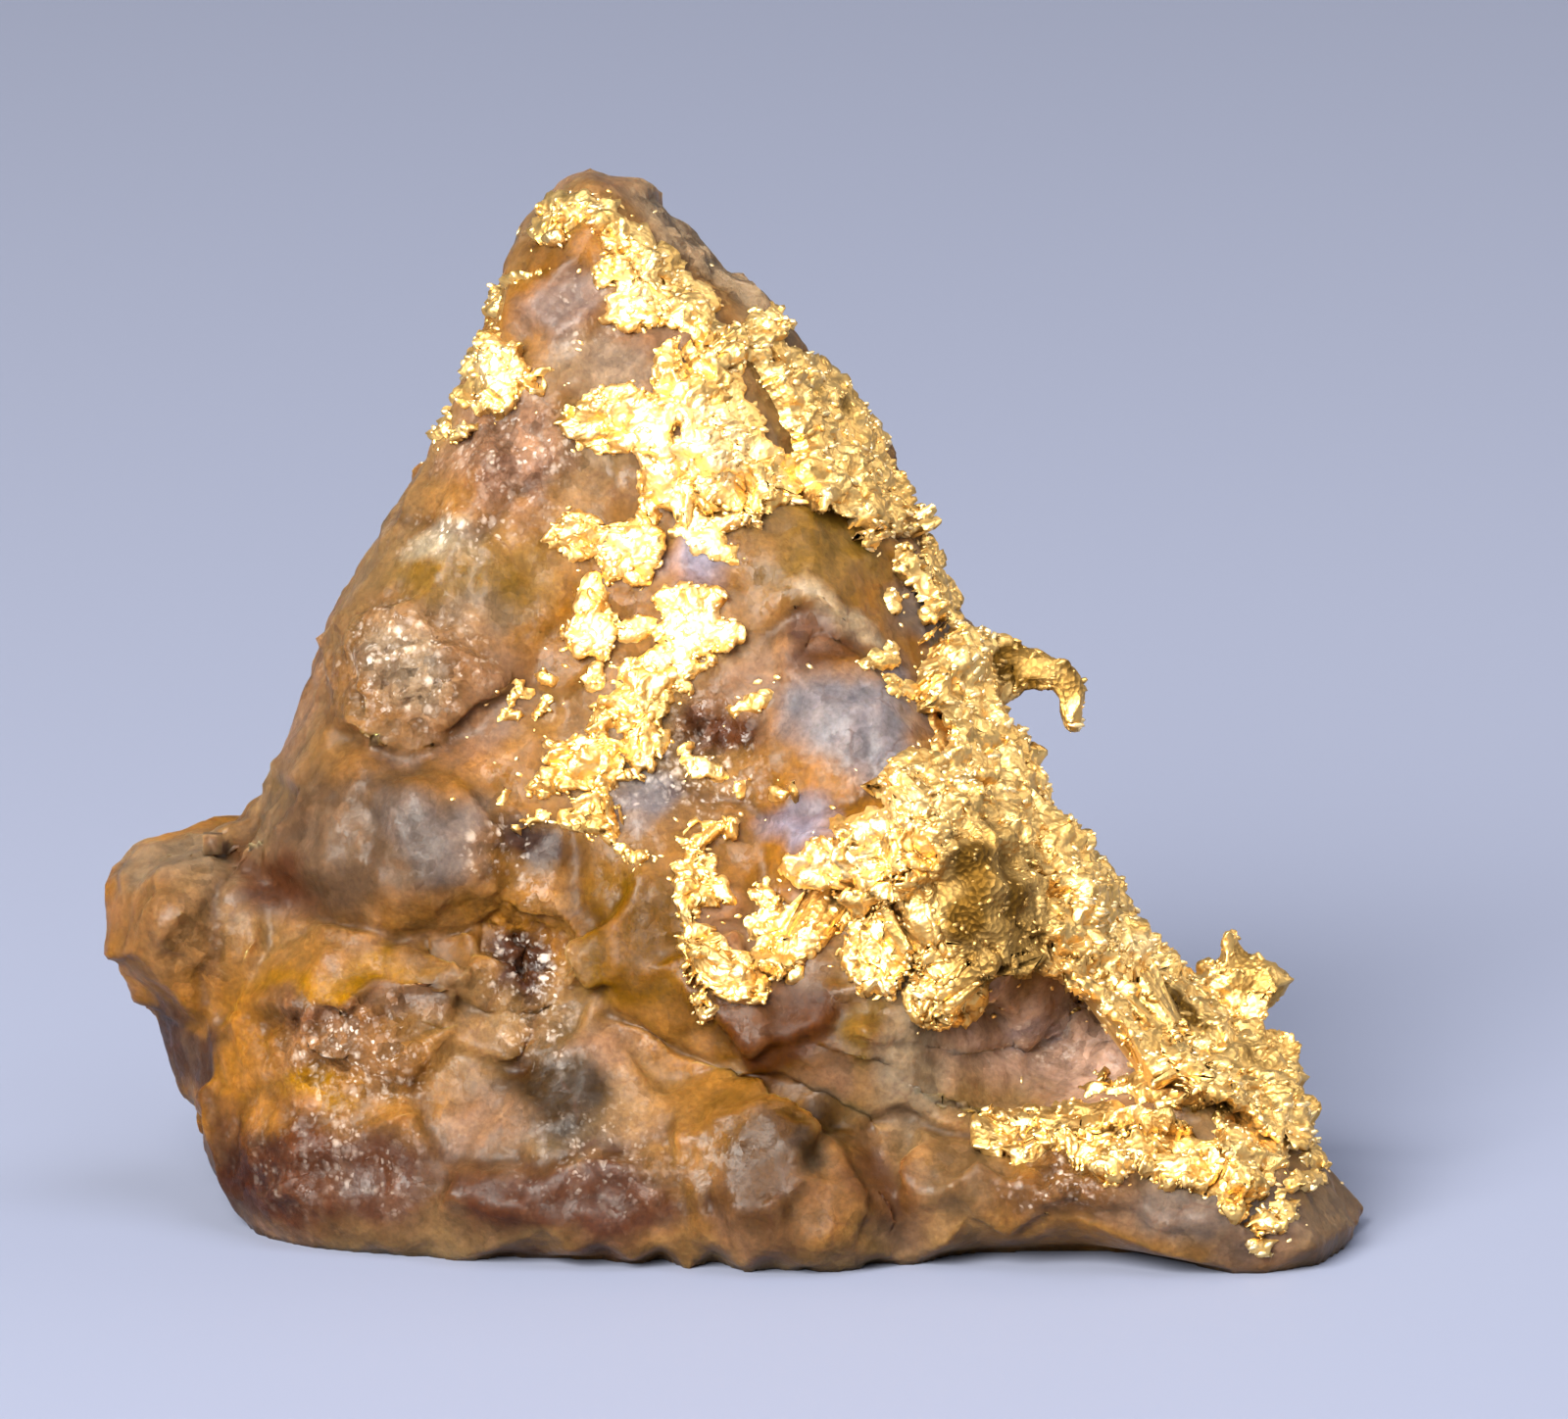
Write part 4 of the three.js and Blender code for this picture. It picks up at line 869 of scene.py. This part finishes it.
# Where the gold is painted paler and brighter as painted highlight: the film and painted shade are mostly
# taken off there.
PAINTED_HIGHLIGHT_PATCHES = [
    (-0.8, 19.6, 3.0, 2.2, -5, 1.0),
    (-0.7, 17.3, 1.2, 1.0, 0, 1.0),
    (-2.4, 23.4, 1.2, 1.2, 0, 1.0),
    (-5.8, 21.7, 1.0, 0.9, 0, 1.0),
    (-0.7, 15.2, 1.5, 1.1, 0, 1.0),
    (-2.6, 17.0, 1.2, 1.0, 0, 1.0),
    (-3.3, 14.9, 0.9, 0.8, 0, 1.0),
    (2.8, 9.1, 1.9, 1.0, 5, 1.0),
    (4.2, 10.3, 2.0, 1.1, 30, 1.0),
    (8.7, 11.2, 1.2, 0.8, -40, 1.0),
    (10.6, 6.9, 0.8, 0.8, 0, 1.0),
]
# Tips that the even skin has blunted are drawn out again: from, to and how wide, on the elevation.
TIPS = [
    ((8.9, 12.9), (8.95, 12.4), 0.35),
    ((8.3, 13.0), (8.6, 13.45), 0.3),
    ((7.8, 13.2), (7.9, 13.6), 0.35),
    ((13.2, 7.1), (13.1, 7.45), 0.25),
    ((14.4, 6.1), (14.6, 6.0), 0.3),
]
stone_moved = (places - stone_start) / MM
stone_tree = tree_of(stone_start / MM)


def domes(points, size, seed):
    """Rounded bumps about `size` wide: 1 on their tops and 0 or less in the grooves between them."""
    _, _, tree = jittered(points, size, seed)
    near = np.array([tree.find(point)[2] for point in points])
    return 1 - (near / (0.62 * size)) ** 2


def swollen(points, height, bumps, seed):
    """A height with rounded bumps on it: how high and how wide each kind is."""
    for number, (high, size) in enumerate(bumps):
        height = height + high * domes(points, size, seed + number)
    return height


def from_stone(points):
    """For points in millimetres: height off the undressed stone, its outward direction, and its move."""
    rows = np.array([stone_tree.find(point)[1] for point in points])
    return along(points - stone_start[rows] / MM, outward[rows]), outward[rows], stone_moved[rows]


def front_share(normals):
    """1 where the stone faces the front elevation, 0 where it faces the sides, top or back."""
    facing = normals[:, 1] * -math.cos(LEAN) + normals[:, 2] * math.sin(LEAN)
    return smooth_step(facing, 0.0, 0.3)


def gold_ground(points):
    """How far inside the gold on the front each point in millimetres lies; stone is below 0."""
    u, w, _ = to_elevation(points * MM)
    u, w = wandered(u, w, points, OUTLINE_WANDER, 90)
    lace = 0.3 * np.abs(cloud(points, 0.45, 94)) + 0.25 * np.clip(cloud(points, 0.9, 95), 0, 1)
    inside = np.full(len(points), -9.0)
    for *oval, lacy in GOLD_PATCHES:
        depth = oval_depth(u, w, oval) * min(oval[2:4])
        inside = np.maximum(inside, np.minimum(depth + 0.06, 0.3) - lacy * lace)
    for oval in BARE_PATCHES.values():
        inside = np.minimum(inside, -(oval_depth(u, w, oval) * min(oval[2:4])))
    return inside


def film_and_shade(points):
    """How dull the gold is painted at each point in metres, from 0 to 1: partly iron film, partly painted
    shade.
    """
    u, w, _ = to_elevation(points)
    u, w = wandered(u, w, points / MM, [(0.3, 0.7)], 61)
    film = strongest(u, w, SHADE_AND_FILM_PATCHES.values(), 0.5)
    return np.clip(film + 0.35 * np.clip(cloud(points / MM, 1.1, 63), 0, 1), 0, 1)


def drawn_out(points):
    """Points in millimetres with the tips of the hook and the curl drawn out."""
    u, w, _ = to_elevation(points * MM)
    moves = np.zeros((len(points), 2))
    for (u0, w0), (u1, w1), reach in TIPS:
        share = np.exp(-((u - u0) ** 2 + (w - w0) ** 2) / reach**2)[:, None]
        moves += share * np.array([u1 - u0, w1 - w0])
    up = np.array([0, math.sin(LEAN), math.cos(LEAN)])
    return points + moves[:, :1] * np.array([1, 0, 0]) + moves[:, 1:] * up


def grain_mesh():
    """A crystal grain: a ball of 20 flat faces, one millimetre in radius, as points and faces."""
    shape = bmesh.new()
    bmesh.ops.create_icosphere(shape, subdivisions=1, radius=1)
    points = np.array([vert.co for vert in shape.verts])
    faces = np.array([[vert.index for vert in face.verts] for face in shape.faces])
    shape.free()
    return points, faces


GRAIN_POINTS, GRAIN_FACES = grain_mesh()
GRAIN_SPREAD = np.array([1.5, 0.7])  # a grain is longer than it is wide
GRAIN_SUNK = 0.2  # how much of its radius a grain sits below the skin it grows from
# The body between the grains is painted at least this dull, and the grains keep this share of it: painted
# shade between the grains, with iron film.
BODY_SHADE_AND_FILM = 0.35
GRAIN_SHADE_AND_FILM = 0.7
PAINTED_HIGHLIGHT_SHARE = 0.9


def grains_at(centres, normals, radii, flatness, seed):
    """Many grains as one list of points and one of faces, each flattened along its normal and turned."""
    draw = np.random.default_rng(seed)
    count = len(centres)
    around = draw.normal(size=(count, 3)) * 0.45 + np.array([0, 0, 1])
    side = np.cross(normals, around)
    side /= np.linalg.norm(side, axis=1)[:, None]
    other = np.cross(normals, side)
    lean = draw.normal(0, 0.35, (count, 2))
    up = normals + lean[:, :1] * side + lean[:, 1:] * other
    up /= np.linalg.norm(up, axis=1)[:, None]
    side = np.cross(up, other)
    other = np.cross(up, side)
    wide = draw.uniform(0.75, 1.25, (count, 2)) * GRAIN_SPREAD
    points = (
        GRAIN_POINTS[None, :, 0, None] * (side * wide[:, :1])[:, None]
        + GRAIN_POINTS[None, :, 1, None] * (other * wide[:, 1:])[:, None]
        + GRAIN_POINTS[None, :, 2, None] * (up * flatness)[:, None]
    )
    points = points * radii[:, None, None] + (centres - GRAIN_SUNK * normals * radii[:, None])[:, None]
    faces = GRAIN_FACES[None] + len(GRAIN_POINTS) * np.arange(count)[:, None, None]
    return points.reshape(-1, 3), faces.reshape(-1, 3)


def add_grains(mesh, points, faces):
    """Joins grains, given in millimetres, to a mesh.

    The gold between the grains is painted duller as painted shade and iron film, and their tops are painted
    paler as painted highlight, most of all in the highlight patches.
    """
    old_points = vertex_array(mesh)
    body = len(old_points)
    old_faces = [tuple(face.vertices) for face in mesh.polygons]
    new_faces = [tuple(face) for face in (faces + body).tolist()]
    joined = bpy.data.meshes.new(mesh.name)
    joined.from_pydata(inside_box(np.vstack([old_points, points * MM])).tolist(), [], old_faces + new_faces)
    joined.shade_smooth()
    all_points = vertex_array(joined)
    film = film_and_shade(all_points)
    film[:body] = np.maximum(film[:body], BODY_SHADE_AND_FILM)
    u, w, _ = to_elevation(all_points)
    film *= 1 - PAINTED_HIGHLIGHT_SHARE * strongest(u, w, PAINTED_HIGHLIGHT_PATCHES, 0.6)
    film[body:] *= GRAIN_SHADE_AND_FILM
    store_number(joined, "film_and_shade", film)
    return joined


def scatter(mesh, count, seed):
    """Random points on a mesh, with their normals: millimetres, spread evenly over its area."""
    draw = np.random.default_rng(seed)
    corners = vertex_array(mesh) / MM
    mesh.calc_loop_triangles()
    rows = np.empty(len(mesh.loop_triangles) * 3, dtype=np.int32)
    mesh.loop_triangles.foreach_get("vertices", rows)
    a, b, c = (corners[rows.reshape(-1, 3)[:, k]] for k in range(3))
    cross = np.cross(b - a, c - a)
    area = np.linalg.norm(cross, axis=1)
    pick = draw.choice(len(area), size=count, p=area / area.sum())
    s, t = draw.uniform(size=(2, count))
    flip = s + t > 1
    s, t = np.where(flip, 1 - s, s)[:, None], np.where(flip, 1 - t, t)[:, None]
    return a[pick] + s * (b - a)[pick] + t * (c - a)[pick], cross[pick] / area[pick, None]


def grain_count(mesh, per_mm2):
    return int(sum(face.area for face in mesh.polygons) / MM**2 * per_mm2)


# Fine gold with a natural satin skin: each grain gives a soft highlight. Where film and painted shade are
# low the gold is painted pale cream as painted highlight; hollows and the listed patches are painted brown
# and dull as painted shade with an iron film.
gold_finish, add, shader, position = new_material("native gold, sugary grown skin")
tint_noise = add("TexNoise", position, scale_for(0.7), 4)
tint = add("Mix", tint_noise, "#f3b84f", "#ffe3a0", data_type="RGBA")
shade_and_film = add("Attribute", attribute_name="film_and_shade").outputs["Fac"]
# Painted shade: hollows that an occlusion test finds within 0.45 mm are painted dark brown, mixed with the
# iron film.
recess = add("AmbientOcclusion", "#ffffff", 0.45 * MM, samples=2)
recess_share = add("MapRange", recess.outputs["AO"], 0.2, 0.7, 0.7, 0)
painted_shade_share = add("Math", recess_share, shade_and_film, operation="MAXIMUM")
# Painted highlight: where film and painted shade are low, the gold is painted pale cream.
painted_highlight_share = add("MapRange", shade_and_film, 0, 0.12, 0.45, 0)
painted_highlight = add("Mix", painted_highlight_share, tint, "#fff3c9", data_type="RGBA")
gold_colour = add("Mix", painted_shade_share, painted_highlight, "#5c4218", data_type="RGBA")
polish_noise = add("TexNoise", position, scale_for(0.35), 3)
polish = add("MapRange", polish_noise, 0.35, 0.65, 0.38, 0.55)
gold_roughness = add("MapRange", shade_and_film, 0.4, 0.9, polish, 0.7)
facets = add("TexVoronoi", position, scale_for(0.16))
facet_strength = add("MapRange", shade_and_film, 0.4, 0.9, 0.45, 1)
gold_bump = add("Bump", facet_strength, 0.07 * MM)
connect(facets, gold_bump.inputs["Height"])
set_sockets(shader, {
    "Base Color": gold_colour, "Roughness": gold_roughness, "Normal": gold_bump, "Metallic": 1.0,
})

for number, (node, voxel, keep, per_mm2) in enumerate(CRUSTS):
    seed = FIRST_SEED + SEEDS_EACH * number
    crust = remeshed_copy(node, voxel)
    points = vertex_array(crust.data) / MM
    normals = normal_array(crust.data)
    flat_u, flat_w, _ = to_elevation(points * MM)
    # The crust sinks onto the dressed stone, and goes under it where its outline shows no gold.
    lift, away, moved = from_stone(points)
    held = 1 - smooth_step(lift, *FREE_GAP)
    seated = np.maximum(lift - SOLID_GAP, 0) * keep - SEAT_SINK
    hidden = (1 - smooth_step(gold_ground(points), -0.05, 0.08)) * front_share(away)
    seated -= hidden * (seated + HIDDEN_SINK)
    points = points + (held * (seated - lift))[:, None] * away + held[:, None] * moved
    points += ((1 - held) * set_back(flat_u, flat_w))[:, None] * VIEW_AXIS
    # Its skin is ragged and swollen, less so on the leaves and where it is painted dull with film and shade.
    ragged = sum(
        far * np.column_stack([cloud(points, size, seed + 3 * step + axis) for axis in range(3)])
        for step, (far, size) in enumerate(RAGGED, 1)
    )
    leaf = strongest(flat_u, flat_w, LEAF_PATCHES, 0.4)
    swell = swollen(points, 0, SWELLING, seed + 9) * (1 - 0.4 * film_and_shade(points * MM)) * (1 - 0.4 * leaf)
    swell -= LEAF_THINNED * leaf
    points = points + (1 - hidden)[:, None] * (ragged * (1 - 0.2 * leaf)[:, None] + normals * swell[:, None])
    drape = patch(flat_u, flat_w, DRAPE, 0.5)[:, None]
    points = points + drape * (relaxed(crust.data, points, DRAPE_ROUNDS) - points)
    points = drawn_out(points)
    points[:, 2] = np.maximum(points[:, 2], TABLE_GAP)
    set_vertices(crust.data, inside_box(points * MM))
    # Grains grow on all of it but the face that lies on the stone.
    centres, facing = scatter(crust.data, grain_count(crust.data, per_mm2), seed + 11)
    lift, away, moved = from_stone(centres)
    shown = ((along(facing, away) > -0.2) | (lift > FREE_GAP[0])) & (centres[:, 2] > GRAIN_LOWEST)
    centres, facing = centres[shown], facing[shown]
    radii = np.random.default_rng(seed + 12).uniform(0.06, 0.17, len(centres))
    flat_u, flat_w, _ = to_elevation(centres * MM)
    radii *= 1 - 0.3 * patch(flat_u, flat_w, DRAPE, 0.4)
    crust.data = add_grains(crust.data, *grains_at(centres, facing, radii, 0.5, seed + 13))
    crust.data.materials.append(gold_finish)
    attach(crust, "root")
    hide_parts(node)

# ---- Gold films ----
# Thin films of gold lie straight on the stone between the crusts and around their edges. They are the
# stone's own skin, raised by a tenth of a millimetre, with a back that stays inside the stone.
FILM_BURIED = 0.12
FILM_HEIGHT = 0.13
FILM_SWELLING = [(0.10, 0.5), (0.06, 0.24)]
FILM_THICKNESS = 0.3
FILM_SKIRT = 0.13  # how far past its visible edge a film runs on under the stone's skin
FILM_RIM = 0.08  # nearer its edge than this a film is meshed twice as fine
FILM_GRAINS = 9  # grains per mm2

shape = bmesh.new()
shape.from_mesh(quartz.data)
ground = gold_ground(places / MM)
covered = (ground > -FILM_SKIRT) & (front_share(normal_array(quartz.data)) > 0.1)
bare_faces = [face for face in shape.faces if not all(covered[vert.index] for vert in face.verts)]
rim_edges = [edge for edge in shape.edges if min(ground[vert.index] for vert in edge.verts) < FILM_RIM]
bmesh.ops.delete(shape, geom=bare_faces, context="FACES")
rim_edges = [edge for edge in rim_edges if edge.is_valid]
bmesh.ops.subdivide_edges(shape, edges=rim_edges, cuts=1, use_grid_fill=True)
film = new_object("gold_films", mesh_from(shape, "gold_films"))
points = vertex_array(film.data) / MM
normals = normal_array(film.data)
shown = smooth_step(gold_ground(points), -0.03, 0.10)
relief = swollen(points, FILM_HEIGHT, FILM_SWELLING, 91)
points = points + normals * (shown * relief - (1 - shown) * FILM_BURIED)[:, None]
set_vertices(film.data, points * MM)
shell = film.modifiers.new("thickness", "SOLIDIFY")
shell.thickness = FILM_THICKNESS * MM
shell.offset = -1
apply_modifiers(film)
centres, facing = scatter(film.data, grain_count(film.data, FILM_GRAINS), 93)
shown = (gold_ground(centres) > 0.03) & (along(facing, from_stone(centres)[1]) > 0)
centres, facing = centres[shown], facing[shown]
radii = np.random.default_rng(94).uniform(0.05, 0.13, len(centres))
film.data = add_grains(film.data, *grains_at(centres, facing, radii, 0.6, 95))
film.data.materials.append(gold_finish)
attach(film, "root")

# ---- Gold flecks ----
# Loose grains of the same gold, most of them a tenth to a third of a millimetre long. They lie on the
# stone around every crust, fewer the further away.
FLECK_COUNT = 6000
FLECK_REACH = 0.16  # a fleck this far from a crust is a third as likely as one beside it

centres, facing = scatter(quartz.data, FLECK_COUNT, 97)
ground = gold_ground(centres)
draw = np.random.default_rng(98)
likely = np.exp(-np.maximum(-ground, 0) / FLECK_REACH) * (ground < 0.05) * front_share(facing)
shown = draw.uniform(size=len(centres)) < likely
centres, facing = centres[shown], facing[shown]
radii = draw.uniform(0.03, 0.11, len(centres))
fleck_grains = grains_at(centres, facing, radii, 0.6, 99)
loose = new_object("gold_flecks", add_grains(bpy.data.meshes.new("gold_flecks"), *fleck_grains))
loose.data.materials.append(gold_finish)
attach(loose, "root")

# ---- Floor, light and camera ----
# A plain pale table under soft daylight: one strong window light from the upper left and weak light all
# round. The camera looks down a little at the stone from far off.
FLOOR_HALF = 2000
LIGHT_AIM = Vector((0, 0, 12 * MM))
LIGHT_DISTANCE = 800
SIGHT = 400  # how far the camera stands off
SEEN_WIDTH = 40  # the width of the stone's plane that fills the view
SEEN_MIDDLE = (1.525, 12.925)  # the middle of the view, on the elevation
SENSOR_WIDTH = 36

shape = bmesh.new()
bmesh.ops.create_grid(shape, x_segments=1, y_segments=1, size=FLOOR_HALF * MM)
floor = new_object("floor", mesh_from(shape, "floor"))
table_finish, _, shader, _ = new_material("pale matt paint")
set_sockets(shader, {"Base Color": "#6e7487", "Roughness": 0.7})
floor.data.materials.append(table_finish)

world = bpy.data.worlds.new("daylight")
world.use_nodes = True
set_sockets(world.node_tree.nodes["Background"], {"Color": "#d3d9e6", "Strength": 0.42})
bpy.context.scene.world = world


def from_elevation(u, w, v):
    y = v * math.cos(LEAN) + w * math.sin(LEAN)
    z = w * math.cos(LEAN) - v * math.sin(LEAN)
    return Vector((np.array([u, y, z]) - MIDDLE) * MM)


def area_light(name, azimuth, elevation, size, watts, colour):
    """A square soft light that looks at the stone's middle; azimuth 0 is in front and 90 to the right."""
    data = bpy.data.lights.new(name, "AREA")
    data.energy = watts
    data.size = size * MM
    data.color = linear(colour)
    light = new_object(name, data)
    turn, rise = math.radians(azimuth), math.radians(elevation)
    offset = Vector((math.sin(turn) * math.cos(rise), -math.cos(turn) * math.cos(rise), math.sin(rise)))
    light.location = LIGHT_AIM + offset * LIGHT_DISTANCE * MM
    light.rotation_euler = (LIGHT_AIM - light.location).to_track_quat("-Z", "Y").to_euler()


area_light("window", -24, 28, 420, 34, "#fffaf2")
area_light("front fill", 12, 16, 500, 1.2, "#fff6ea")
area_light("sky", 35, 62, 500, 5, "#f4f5ff")
area_light("right fill", 108, 30, 460, 2, "#fff4e6")

camera = new_object("camera", bpy.data.cameras.new("camera"))
camera.data.sensor_width = SENSOR_WIDTH
camera.data.lens = SENSOR_WIDTH * SIGHT / SEEN_WIDTH
camera.data.clip_start = 0.01
camera.data.clip_end = 10
camera.location = from_elevation(*SEEN_MIDDLE, -SIGHT)
camera.rotation_euler = (math.radians(90) - LEAN, 0, 0)
bpy.context.scene.camera = camera
bpy.context.scene.view_settings.view_transform = "Standard"
